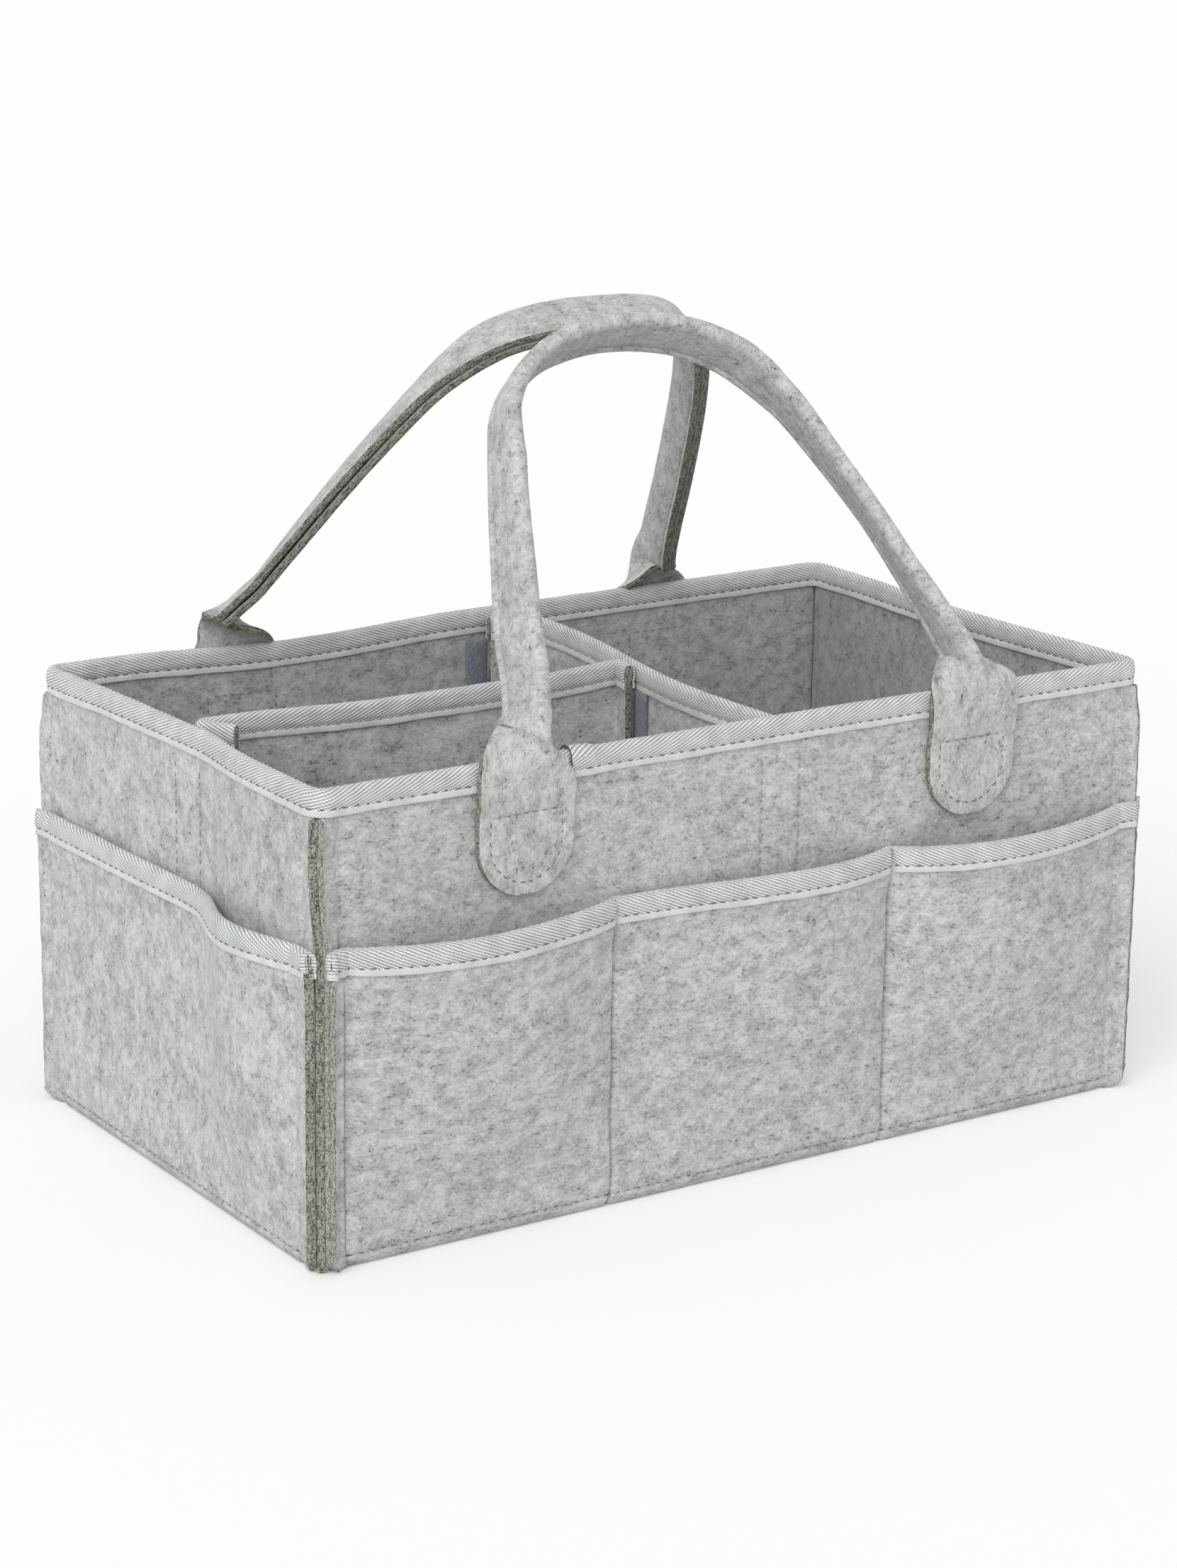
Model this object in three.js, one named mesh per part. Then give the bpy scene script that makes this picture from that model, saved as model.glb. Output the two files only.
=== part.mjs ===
// A felt stroller and nursery organizer: an open sewn box of thick felt with twill bound
// edges, outer pockets on all four sides, two lift-out dividers held by hook and loop
// strips, and two folded felt carry handles that lean together over the middle.
// Millimetres. +X is the long side, -Y is the front, +Z is up, and the box stands on z = 0.
import * as THREE from 'three';

// The sewn box.
const boxLength = 378; // between the outer faces of the two end walls
const boxWidth = 216; // between the outer faces of the front and back walls
const rimHeight = 180; // floor to the top of the rim binding
const feltThickness = 3; // walls, base, pockets and dividers
const tapeThickness = 0.8; // woven binding
const tapeDrop = 10; // how far a binding comes down each face
const sewnGap = 0.3; // left between two pieces that lie on each other
const seamAllowance = 6; // corner seams, from the inner corner out to the raw edges
const baseSeamHeight = 5; // middle of the base felt where it meets the walls
const baseSagRun = 32; // over which the base comes down from its seam to the floor
const baseFlatStep = 8; // flat felt between that fall and the middle sheet
const frontBow = 1; // how far the middle of each wall's upper part is drawn inwards
const backBow = 1;
const endBow = 5;

// Outer pockets.
const pocketHeight = 122; // floor to the top of the pocket binding
const pocketSeamSpacing = 128; // between the two stitch lines that make three pockets
const sidePocketDepth = 13; // how far the two outer pockets of a long side stand out
const middlePocketDepth = 9;
const endPocketDepth = 10;

// Handles.
const handleSpacing = 204; // between the middles of a handle's two sewn ends
const handleRise = 165; // hinge line at the rim to the top of the arch, along its plane
const handleLean = 33; // degrees from upright, towards the middle, where they don't meet first
const handleMeetGap = 6; // left between the two handles where they meet
const legLean = 15; // degrees that the legs draw together
const strapWidth = 41; // felt strip laid flat
const strapThickness = 2.8;
const strapFoldGap = 0.4; // between the two folded halves
const foldRun = 15; // over which the strip folds from flat to closed
const tabDrop = 51; // rim to the lower end of a sewn tab
const hingeRise = 1.6; // hinge line above the rim
const hingeGap = 1.2; // hinge line to the first felt of the moving strap

// Dividers.
const crossDividerX = 22; // middle of the cross divider's felt
const longDividerY = 7; // middle of the long divider's felt
const dividerDrop = 3; // rim to the top of a divider's binding
const longDividerSag = 2; // its top edge hangs a little in the middle
const flapLength = 18; // turned ends that carry the hook strips
const flapBend = 2.5; // radius of the turn, at the middle of the felt
const stripWidth = 20; // hook and loop strips
const stripThickness = 1.2;
const stripDrop = 14; // rim to the top of a strip
const stripFoot = 22; // floor to the lower end of a strip

const feltColour = 0xc3c3c1;
const tapeColour = 0xc8ccce;
const stripColour = 0x787d8c;

const innerX = boxLength / 2 - feltThickness;
const innerY = boxWidth / 2 - feltThickness;
const feltTop = rimHeight - tapeThickness - sewnGap;
const dividerTop = rimHeight - dividerDrop;
const stripTop = rimHeight - stripDrop;
const root2 = Math.SQRT2;
const rad = Math.PI / 180;

const smooth = (t) => {
  const s = Math.min(1, Math.max(0, t));
  return s * s * (3 - 2 * s);
};
const lerp = (a, b, t) => a + (b - a) * t;
const spread = (a, b, n) => Array.from({ length: n + 1 }, (_, i) => lerp(a, b, i / n));

const organizer = new THREE.Group();

function addMesh(name, colour, roughness, positions, triangles) {
  let volume = 0;
  const at = (i) => new THREE.Vector3().fromArray(positions, 3 * i);
  for (const [a, b, c] of triangles) {
    volume += at(a).dot(at(b).cross(at(c)));
  }
  const index = triangles.flatMap(([a, b, c]) => (volume > 0 ? [a, b, c] : [a, c, b]));
  const geometry = new THREE.BufferGeometry();
  geometry.setAttribute('position', new THREE.Float32BufferAttribute(positions, 3));
  geometry.setIndex(index);
  geometry.computeVertexNormals();
  const material = new THREE.MeshStandardMaterial({ color: colour, roughness, metalness: 0 });
  const mesh = new THREE.Mesh(geometry, material);
  mesh.name = name;
  organizer.add(mesh);
}

// A sheet with two faces and closed edges. point(i, j, side) gives a point of face 0 or
// face 1; with closed set, the last column joins the first.
function addSheet(name, colour, roughness, columns, rows, point, closed = false) {
  const positions = [];
  const across = closed ? columns : columns + 1;
  for (const side of [0, 1]) {
    for (let i = 0; i < across; i++) {
      for (let j = 0; j <= rows; j++) {
        positions.push(...point(i, j, side));
      }
    }
  }
  const id = (i, j, side) => (side * across + (i % across)) * (rows + 1) + j;
  const triangles = [];
  const quad = (a, b, c, d) => triangles.push([a, b, c], [a, c, d]);
  for (let i = 0; i < columns; i++) {
    for (let j = 0; j < rows; j++) {
      quad(id(i, j, 0), id(i + 1, j, 0), id(i + 1, j + 1, 0), id(i, j + 1, 0));
      quad(id(i, j, 1), id(i, j + 1, 1), id(i + 1, j + 1, 1), id(i + 1, j, 1));
    }
    quad(id(i, 0, 0), id(i, 0, 1), id(i + 1, 0, 1), id(i + 1, 0, 0));
    quad(id(i, rows, 0), id(i + 1, rows, 0), id(i + 1, rows, 1), id(i, rows, 1));
  }
  if (!closed) {
    for (let j = 0; j < rows; j++) {
      quad(id(0, j, 0), id(0, j + 1, 0), id(0, j + 1, 1), id(0, j, 1));
      quad(id(columns, j, 0), id(columns, j, 1), id(columns, j + 1, 1), id(columns, j + 1, 0));
    }
  }
  addMesh(name, colour, roughness, positions, triangles);
}

// The four sides. Each has its own plan coordinates: u runs along the wall and w runs
// outwards from the wall's inner face.
const sides = {
  front: { half: innerX, place: (u, w) => [u, -innerY - w] },
  right: { half: innerY, place: (u, w) => [innerX + w, u] },
  back: { half: innerX, place: (u, w) => [-u, innerY + w] },
  left: { half: innerY, place: (u, w) => [-innerX - w, -u] },
};

// The soft walls are drawn inwards: most in the middle of their length, and not at the
// corners or at the base. Everything sewn to them moves with them.
const bowProfile = (t) => Math.max(0, 1 - t * t) ** 2;
const bowStart = 8;
const bowRun = 37;
const bowRise = (z) => smooth((z - bowStart) / bowRun);

function bowed(x, y, z) {
  const yBow = y < 0 ? frontBow : backBow;
  const dx = (endBow * bowProfile(y / innerY) * bowRise(z) * x) / innerX;
  const dy = (yBow * bowProfile(x / innerX) * bowRise(z) * y) / innerY;
  return [x - dx, y - dy, z];
}

// Heights at which every sheet has a row of points, so that sewn layers bend alike.
const bowLevels = spread(bowStart, bowStart + bowRun, 5);
const rowsBetween = (low, levels, high) => {
  return [low, ...levels.filter((z) => z > low + 1 && z < high - 1), high];
};

const endWallX = innerX - endBow * bowProfile(longDividerY / innerY);
const frontWallY = innerY - frontBow * bowProfile(crossDividerX / innerX);
const backWallY = innerY - backBow * bowProfile(crossDividerX / innerX);

// Base: one felt panel. Its edge is turned down inside the walls and sewn there, and
// inside that seam the panel comes down onto the floor.
const lipMiddle = sewnGap + feltThickness / 2;
const lipTurn = 2;
const baseMiddleZ = (d) => {
  const fall = smooth((d - lipMiddle - lipTurn) / baseSagRun);
  return lerp(baseSeamHeight, feltThickness / 2, fall);
};
const baseTop = (d) => baseMiddleZ(d) + feltThickness / 2;

function addBase() {
  const runs = spread(lipMiddle + lipTurn + baseSagRun + baseFlatStep, lipMiddle + lipTurn, 7);
  const middle = runs.map((d) => [d, baseMiddleZ(d)]);
  for (const angle of [30, 60, 90]) {
    const d = lipMiddle + lipTurn * (1 - Math.sin(angle * rad));
    middle.push([d, baseSeamHeight - lipTurn * (1 - Math.cos(angle * rad))]);
  }
  middle.push([lipMiddle, 0]);
  const last = middle.length - 1;
  const offset = (k, sign) => {
    const [d0, z0] = middle[Math.max(0, k - 1)];
    const [d1, z1] = middle[Math.min(last, k + 1)];
    const length = Math.hypot(d1 - d0, z1 - z0);
    const half = (sign * feltThickness) / 2;
    const flat = k === last ? 0 : (d0 - d1) / length;
    const upright = k === last ? -1 : (z1 - z0) / length;
    return [middle[k][0] + half * upright, middle[k][1] + half * flat];
  };
  const profile = middle.map((_, k) => offset(k, 1));
  profile.push(...middle.map((_, k) => offset(last - k, -1)));
  const corner = [[-1, -1], [1, -1], [1, 1], [-1, 1]];
  const positions = [];
  for (const [d, z] of profile) {
    for (const [sx, sy] of corner) {
      positions.push(sx * (innerX - d), sy * (innerY - d), z);
    }
  }
  const triangles = [[0, 1, 2], [0, 2, 3]];
  const end = 4 * (profile.length - 1);
  triangles.push([end, end + 2, end + 1], [end, end + 3, end + 2]);
  for (let k = 0; k < profile.length - 1; k++) {
    for (let c = 0; c < 4; c++) {
      const a = 4 * k + c;
      const b = 4 * k + ((c + 1) % 4);
      triangles.push([a, a + 4, b + 4], [a, b + 4, b]);
    }
  }
  addMesh('base_panel', feltColour, 0.95, positions, triangles);
}

// One felt layer of a side, from the raw edges of one corner seam to those of the other.
// The layers of two walls meet on the diagonal of the corner and stand out along it.
// inset(z) is w of the layer's inner face, seamOffset its distance from the diagonal.
function layerPoint(side, column, z, face, inset, seamOffset) {
  const { half, place } = sides[side];
  const felt = face * feltThickness;
  const [kind, value] = column;
  if (kind === 'wall') {
    return place(value, inset + felt);
  }
  const sign = Math.sign(value);
  const away = seamOffset + felt;
  const bend = root2 * (inset + felt) - away;
  const along = lerp(bend, seamAllowance, Math.abs(value) - 1);
  const u = half + (along - away) / root2;
  return place(sign * u, (along + away) / root2);
}

// Columns of a layer: the two seam edges, the bends, and the given places on the wall.
const finStep = 1.06;
function layerColumns(places) {
  const fin = [2, finStep, 1];
  return [
    ...fin.map((v) => ['seam', -v]),
    ...places.map((u) => ['wall', u]),
    ...fin.map((v) => ['seam', v]).reverse(),
  ];
}

const bendClearance = 6;

function addWall(side) {
  const { half } = sides[side];
  const columns = layerColumns(spread(bendClearance - half, half - bendClearance, 8));
  const finTop = rimHeight - tapeDrop - sewnGap;
  const levels = rowsBetween(0, bowLevels, feltTop);
  const rows = levels.map((z) => z / feltTop);
  addSheet(side + '_wall', feltColour, 0.95, columns.length - 1, rows.length - 1, (i, j, face) => {
    const inFin = columns[i][0] === 'seam' && Math.abs(columns[i][1]) > 1;
    const z = rows[j] * (inFin ? finTop : feltTop);
    const [x, y] = layerPoint(side, columns[i], z, face, 0, sewnGap / 2);
    return bowed(x, y, z);
  });
}

// Binding: a tape folded over an edge. section(i) gives the felt's outer and inner face
// there as functions of z, and place(i, w) puts an offset w in plan.
function addBinding(name, count, topZ, faces, place, closed, shift) {
  const levels = [tapeDrop, tapeThickness + sewnGap];
  const shoulder = 0.35;
  const point = (i, j, side) => {
    const tape = side * tapeThickness;
    const top = topZ(i) - (1 - side) * tapeThickness;
    const outwards = j < 3 ? 1 : -1;
    const k = j < 3 ? j : 5 - j;
    const z = k < 2 ? topZ(i) - levels[k] : top;
    const [inner, outer] = faces(i, Math.min(z, topZ(i) - levels[1]));
    const reach = sewnGap + tape - (k === 2 ? shoulder : 0);
    const w = outwards > 0 ? outer + reach : inner - reach;
    const [x, y] = place(i, w);
    return shift(x, y, z);
  };
  addSheet(name, tapeColour, 0.8, count, 5, point, closed);
}

function addRimBinding() {
  const stations = [];
  for (const side of ['front', 'right', 'back', 'left']) {
    const { half, place } = sides[side];
    stations.push((w) => place(-half - w, w));
    for (const u of spread(bendClearance - half, half - bendClearance, 8)) {
      stations.push((w) => place(u, w));
    }
  }
  const faces = () => [0, feltThickness];
  const place = (i, w) => stations[i % stations.length](w);
  addBinding('rim_binding', stations.length, () => rimHeight, faces, place, true, bowed);
}

// Pockets: a felt layer sewn on over the wall in the corner seams, at the base and, on
// the long sides, along two upright stitch lines. It stands off the wall in between.
const tapeRoom = tapeThickness + sewnGap;
const pocketTop = pocketHeight - tapeThickness - sewnGap;
const pocketSeamU = pocketSeamSpacing / 2;
const pocketEdge = 8; // from the wall's end to where a pocket starts to stand out
const pocketFoot = 4; // floor to where it starts to stand out
const pocketBelly = 60; // over which most of its depth is reached
const tapeFlat = 7; // flat felt below the pocket binding, where the seams allow for it
const tapeFlatRun = 5;

function pocketFullness(side, u) {
  const { half } = sides[side];
  const edge = half - pocketEdge;
  const swell = (a, b) => Math.sin(Math.PI * Math.min(1, Math.max(0, (u - a) / (b - a)))) ** 0.8;
  if (side === 'left' || side === 'right') {
    return endPocketDepth * swell(-edge, edge);
  }
  if (Math.abs(u) < pocketSeamU) {
    return middlePocketDepth * swell(-pocketSeamU, pocketSeamU);
  }
  return sidePocketDepth * (u > 0 ? swell(pocketSeamU, edge) : swell(-edge, -pocketSeamU));
}

function pocketInset(side, u, z) {
  const nearTop = smooth((z - (pocketTop - tapeDrop - tapeFlat)) / tapeFlatRun);
  const slow = smooth((z - bowStart) / (pocketTop - bowStart));
  const quick = smooth((z - pocketFoot) / pocketBelly);
  const lift = 0.35 * slow + 0.65 * quick;
  return feltThickness + sewnGap + tapeRoom * nearTop + pocketFullness(side, u) * lift;
}

function pocketPlaces(side) {
  const edge = sides[side].half - pocketEdge;
  if (side === 'left' || side === 'right') {
    return spread(-edge, edge, 12);
  }
  const outer = spread(-edge, -pocketSeamU, 6);
  const middle = spread(-pocketSeamU, pocketSeamU, 6).slice(1, -1);
  return [...outer, ...middle, ...outer.map((u) => -u).reverse()];
}

function addPocket(side) {
  const columns = layerColumns(pocketPlaces(side));
  const flatStart = pocketTop - tapeDrop - tapeFlat;
  const upper = [(bowStart + bowRun + flatStart) / 2, flatStart, flatStart + tapeFlatRun];
  const rows = rowsBetween(0, [...bowLevels, ...upper], pocketTop);
  const seamOffset = sewnGap / 2 + feltThickness + sewnGap;
  const name = side + '_pocket_panel';
  addSheet(name, feltColour, 0.95, columns.length - 1, rows.length - 1, (i, j, face) => {
    const u = columns[i][0] === 'wall' ? columns[i][1] : sides[side].half;
    const inset = pocketInset(side, u, rows[j]);
    const [x, y] = layerPoint(side, columns[i], rows[j], face, inset, seamOffset);
    return bowed(x, y, rows[j]);
  });
  const places = pocketPlaces(side);
  const faces = (i, z) => {
    const inner = pocketInset(side, places[i], z);
    return [inner, inner + feltThickness];
  };
  const place = (i, w) => sides[side].place(places[i], w);
  const top = () => pocketHeight;
  addBinding(side + '_pocket_binding', places.length - 1, top, faces, place, false, bowed);
}

// Sewn tabs: the flat ends of the handles, round at the foot, flat on the wall at the
// foot and over the rim binding at the top.
const tabLift = sewnGap + tapeThickness;
const strapHingeW = feltThickness + sewnGap + tabLift + strapThickness + sewnGap;
const tabTopGap = 0.8; // the sewn tab ends this far below the hinge line
const tabTop = rimHeight + hingeRise - tabTopGap;
const tabLiftStart = 12; // below the rim binding's lower edge
const tabLiftRun = 9;

function addTab(name, side, middleU) {
  const radius = strapWidth / 2;
  const angles = spread(-90, 90, 10);
  const foot = rimHeight - tabDrop + radius;
  const rows = [0, 0.25, 0.5, 0.64, 0.78, 1];
  addSheet(name, feltColour, 0.95, angles.length - 1, rows.length - 1, (i, j, face) => {
    const u = middleU + radius * Math.sin(angles[i] * rad);
    const z = lerp(foot - radius * Math.cos(angles[i] * rad), tabTop, rows[j]);
    const lift = tabLift * smooth((z - (rimHeight - tapeDrop - tabLiftStart)) / tabLiftRun);
    const w = feltThickness + sewnGap + lift + face * strapThickness;
    const [x, y] = sides[side].place(u, w);
    return bowed(x, y, z);
  });
}

// Handles: the same strip folded lengthwise above the rim, with its fold outwards and its
// raw edges inwards. Its line is two straight legs and a round arch that both touch.
const legAngle = legLean * rad;
const spacingHalf = handleSpacing / 2;
const archCentre = (handleRise - spacingHalf * Math.cos(legAngle)) / (1 - Math.sin(legAngle));
const archRadius = handleRise - archCentre;
const tiltStart = 4; // hinge line to where the legs start to draw together

function handleLine() {
  const legEnd = archCentre + archRadius * Math.sin(legAngle);
  const fold = spread(hingeGap, hingeGap + foldRun, 5);
  const leg = [...fold, ...spread(hingeGap + foldRun, legEnd, 3).slice(1)];
  const left = leg.map((h) => {
    const tilt = legAngle * smooth((h - tiltStart) / foldRun);
    return { x: -spacingHalf + h * Math.tan(legAngle), h, tilt };
  });
  const arch = spread(legAngle, Math.PI - legAngle, 16).slice(1, -1).map((angle) => {
    const x = -archRadius * Math.cos(angle);
    return { x, h: archCentre + archRadius * Math.sin(angle), tilt: angle };
  });
  const right = left.map(({ x, h, tilt }) => ({ x: -x, h, tilt: Math.PI - tilt })).reverse();
  return [...left, ...arch, ...right];
}

const foldRadius = (strapFoldGap + strapThickness) / 2;
const foldQuarter = (foldRadius * Math.PI) / 2;

function foldedSection(position, fold, face) {
  const radius = foldRadius;
  const reach = Math.abs(position);
  const turn = Math.min(fold, reach / radius);
  const straight = reach - radius * turn;
  const outside = (face - 0.5) * strapThickness;
  const across = radius * Math.sin(turn) + straight * Math.cos(turn) + outside * Math.sin(turn);
  const rise = radius * (1 - Math.cos(turn)) + straight * Math.sin(turn);
  const depth = strapThickness / 2 + rise - outside * Math.cos(turn);
  return [Math.sign(position) * across, depth];
}

// The lean at which the raw edges of the two arches come to their gap over the middle.
const axisY = innerY + strapHingeW;
const axisZ = rimHeight + hingeRise;
const foldDepth = strapThickness / 2 + foldRadius + strapWidth / 2 - foldQuarter;
const meetingLean = Math.asin((axisY - handleMeetGap / 2) / Math.hypot(handleRise, foldDepth));
const lean = Math.min(handleLean * rad, meetingLean - Math.atan2(foldDepth, handleRise));

function addHandle(name, sign) {
  const line = handleLine();
  const half = [foldQuarter / 2, foldQuarter, (foldQuarter + strapWidth / 2) / 2, strapWidth / 2];
  const across = [...half.map((v) => -v).reverse(), 0, ...half];
  addSheet(name, feltColour, 0.95, line.length - 1, across.length - 1, (i, j, face) => {
    const { x, h, tilt } = line[i];
    const fold = (Math.PI / 2) * smooth((h - hingeGap) / foldRun);
    const [a, b] = foldedSection(across[j], fold, face);
    const px = x - a * Math.cos(tilt);
    const ph = h + a * Math.sin(tilt);
    const inwards = ph * Math.sin(lean) + b * Math.cos(lean);
    return [px, sign * (axisY - inwards), axisZ + ph * Math.cos(lean) - b * Math.sin(lean)];
  });
}

// Hook and loop strips, flat on the felt.
function addStrip(name, top, point) {
  const rows = rowsBetween(stripFoot, bowLevels, top);
  const last = rows.length - 1;
  addSheet(name, stripColour, 0.9, 2, last, (i, j, face) => point(i / 2, rows[j], face));
}

function addWallStrip(name, side, from, to) {
  addStrip(name, stripTop, (t, z, face) => {
    const w = -sewnGap - face * stripThickness;
    const [x, y] = sides[side].place(lerp(from, to, t), w);
    return bowed(x, y, z);
  });
}

// Wall face to the near face of a divider's flap: loop strip, hook strip and the gaps.
const flapStandoff = 3 * sewnGap + 2 * stripThickness;
const halfFelt = feltThickness / 2;

// A divider's plan: a straight run between two ends, with a flap turned back at each.
// Stations carry a point of the felt's middle and the direction across the felt.
function dividerStations(flatFrom, flatTo, count) {
  const stations = [];
  const turn = (middle, direction) => {
    for (const angle of [0, 30, 60, 90]) {
      const c = Math.cos(angle * rad);
      const s = Math.sin(angle * rad);
      const along = middle + direction * flapBend * c;
      stations.push({ along, off: flapBend * (s - 1), n: [direction * c, s] });
    }
  };
  const tip = halfFelt - flapLength;
  stations.push({ along: flatFrom, off: tip, n: [-1, 0] });
  stations.push({ along: flatFrom, off: (tip - flapBend) / 2, n: [-1, 0] });
  turn(flatFrom + flapBend, -1);
  const first = flatFrom + flapBend;
  const final = flatTo - flapBend;
  for (const along of spread(first, final, count).slice(1, -1)) {
    stations.push({ along, off: 0, n: [0, 1] });
  }
  const before = stations.length;
  turn(flatTo - flapBend, 1);
  stations.push(...stations.splice(before).reverse());
  stations.push({ along: flatTo, off: (tip - flapBend) / 2, n: [1, 0] });
  stations.push({ along: flatTo, off: tip, n: [1, 0] });
  return stations;
}

function addDivider(name, stations, place, top, floor) {
  const felt = (i) => top(i) - tapeThickness - sewnGap;
  addSheet(name, feltColour, 0.95, stations.length - 1, 3, (i, j, face) => {
    const z = lerp(floor(i), felt(i), [0, 0.12, 0.9, 1][j]);
    const [x, y] = place(i, (face - 0.5) * feltThickness);
    return [x, y, z];
  });
  const faces = () => [-halfFelt, halfFelt];
  const last = stations.length - 1;
  const still = (x, y, z) => [x, y, z];
  addBinding(name + '_binding', last, top, faces, place, false, still);
}

function addCrossDivider() {
  const near = -frontWallY + flapStandoff + halfFelt;
  const far = backWallY - flapStandoff - halfFelt;
  const stations = dividerStations(near, far, 6);
  const place = (i, w) => {
    const { along, off, n } = stations[i];
    return [crossDividerX + off + w * n[1], along + w * n[0]];
  };
  const floor = (i) => baseTop(innerY - Math.abs(stations[i].along)) + sewnGap;
  addDivider('cross_divider', stations, place, () => dividerTop, floor);
  const from = crossDividerX + halfFelt - flapLength;
  const hook = (name, y, sign) => addStrip(name, stripTop, (t, z, face) => {
    const x = lerp(from, crossDividerX + halfFelt - flapBend - halfFelt, t);
    return [x, y + sign * (sewnGap + face * stripThickness), z];
  });
  hook('cross_divider_front_hook_strip', near - halfFelt, -1);
  hook('cross_divider_back_hook_strip', far + halfFelt, 1);
  const face = crossDividerX - halfFelt - sewnGap;
  addStrip('cross_divider_loop_strip', stripTop, (t, z, side) => {
    return [face - side * stripThickness, longDividerY + halfFelt - t * stripWidth, z];
  });
}

function addLongDivider() {
  const near = -endWallX + flapStandoff + halfFelt;
  const far = crossDividerX - halfFelt - flapStandoff - halfFelt;
  const stations = dividerStations(near, far, 8);
  const place = (i, w) => {
    const { along, off, n } = stations[i];
    return [along + w * n[0], longDividerY + off + w * n[1]];
  };
  const middle = (near + far) / 2;
  const reach = (far - near) / 2;
  const top = (i) => {
    const t = (stations[i].along - middle) / reach;
    return dividerTop - longDividerSag * Math.max(0, 1 - t * t);
  };
  const floor = (i) => baseTop(innerX - Math.abs(stations[i].along)) + sewnGap;
  addDivider('long_divider', stations, place, top, floor);
  const from = longDividerY + halfFelt - flapLength;
  const hook = (name, x, sign) => addStrip(name, stripTop, (t, z, face) => {
    const y = lerp(from, longDividerY - flapBend, t);
    return [x + sign * (sewnGap + face * stripThickness), y, z];
  });
  hook('long_divider_left_hook_strip', near - halfFelt, -1);
  hook('long_divider_right_hook_strip', far + halfFelt, 1);
}

addBase();
for (const side of ['front', 'back', 'left', 'right']) {
  addWall(side);
}
addRimBinding();
for (const side of ['front', 'back', 'left', 'right']) {
  addPocket(side);
}
const crossEdge = crossDividerX + halfFelt;
const longEdge = longDividerY + halfFelt;
addWallStrip('front_wall_loop_strip', 'front', crossEdge - stripWidth, crossEdge);
addWallStrip('back_wall_loop_strip', 'back', -crossEdge, stripWidth - crossEdge);
addWallStrip('left_wall_loop_strip', 'left', -longEdge, stripWidth - longEdge);
addCrossDivider();
addLongDivider();
addTab('front_handle_left_tab', 'front', -spacingHalf);
addTab('front_handle_right_tab', 'front', spacingHalf);
addTab('back_handle_left_tab', 'back', spacingHalf);
addTab('back_handle_right_tab', 'back', -spacingHalf);
addHandle('front_handle', -1);
addHandle('back_handle', 1);

export default organizer;
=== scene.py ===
# A felt stroller and nursery organizer: a sewn box of thick grey felt with twill bound edges,
# outer pockets, two lift-out dividers and two folded carry handles. Shapes are worked out in
# millimetres and put into the meshes in metres.
import math

import bpy
import numpy as np
from mathutils import Matrix


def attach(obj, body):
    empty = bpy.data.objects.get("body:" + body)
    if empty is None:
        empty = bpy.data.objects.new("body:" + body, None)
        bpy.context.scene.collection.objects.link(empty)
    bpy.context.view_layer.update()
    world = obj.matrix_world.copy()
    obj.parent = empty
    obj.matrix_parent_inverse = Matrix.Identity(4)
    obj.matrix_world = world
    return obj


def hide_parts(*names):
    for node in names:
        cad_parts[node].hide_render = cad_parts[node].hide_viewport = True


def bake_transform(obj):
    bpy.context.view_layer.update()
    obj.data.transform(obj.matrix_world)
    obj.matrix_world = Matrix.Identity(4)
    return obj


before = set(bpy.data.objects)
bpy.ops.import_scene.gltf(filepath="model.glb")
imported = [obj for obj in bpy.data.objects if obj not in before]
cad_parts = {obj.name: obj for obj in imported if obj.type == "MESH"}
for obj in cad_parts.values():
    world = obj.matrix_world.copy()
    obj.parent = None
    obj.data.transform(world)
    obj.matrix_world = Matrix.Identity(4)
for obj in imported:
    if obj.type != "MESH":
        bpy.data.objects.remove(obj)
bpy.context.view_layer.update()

print("frame loaded")

box = {
    "length": 378, "width": 216, "rim": 180, "felt": 3, "gap": 0.3, "tape": 0.8, "tapeDrop": 10,
    "rimRadius": 4, "allowance": 6,
}
innerX = box["length"] / 2 - box["felt"]
innerY = box["width"] / 2 - box["felt"]
root2 = math.sqrt(2)
sideHalf = {"front": innerX, "back": innerX, "left": innerY, "right": innerY}
sideSeed = {"front": 0, "right": 1, "back": 2, "left": 3}


# Height of the felt's edge under a tape whose crown is at top.
def underTape(top):
    return top - box["tape"] - 2 * box["gap"]


# Eases from 0 at start to 1 a run further on, with level ends.
def smooth(t, start=0.0, run=1.0):
    t = np.clip((t - start) / run, 0.0, 1.0)
    return t * t * (3.0 - 2.0 * t)


# A round hill, 1 in the middle and 0 from one width away outwards.
def hill(t, middle=0.0, width=1.0):
    return np.clip(1.0 - ((t - middle) / width) ** 2, 0.0, 1.0) ** 2


# A narrow bell, 1 in the middle.
def bell(t, middle=0.0, width=1.0):
    return np.exp(-((t - middle) / width) ** 2)


def newObject(name, data):
    made = bpy.data.objects.new(name, data)
    bpy.context.collection.objects.link(made)
    return made


def unit(vectors):
    return vectors / np.maximum(np.linalg.norm(vectors, axis=-1, keepdims=True), 1e-9)


# Points from their coordinates, each spread to the shape that they share.
def together(*parts):
    return np.stack(np.broadcast_arrays(*parts), -1)


def joined(*parts):
    return np.concatenate(parts)


# How far along a line each of its points lies.
def runAlong(line):
    return joined([0], np.cumsum(np.linalg.norm(np.diff(line, axis=0), axis=1)))


# The places of a line at the given distances along it.
def pointsAt(at, run, line):
    return together(*[np.interp(at, run, line[:, k]) for k in range(line.shape[1])])


# Large primes that turn a lattice place into a number that looks random.
latticeMix = {"primes": (73856093, 19349663, 83492791), "last": 1274126177, "seedShift": 31.7}


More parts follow.
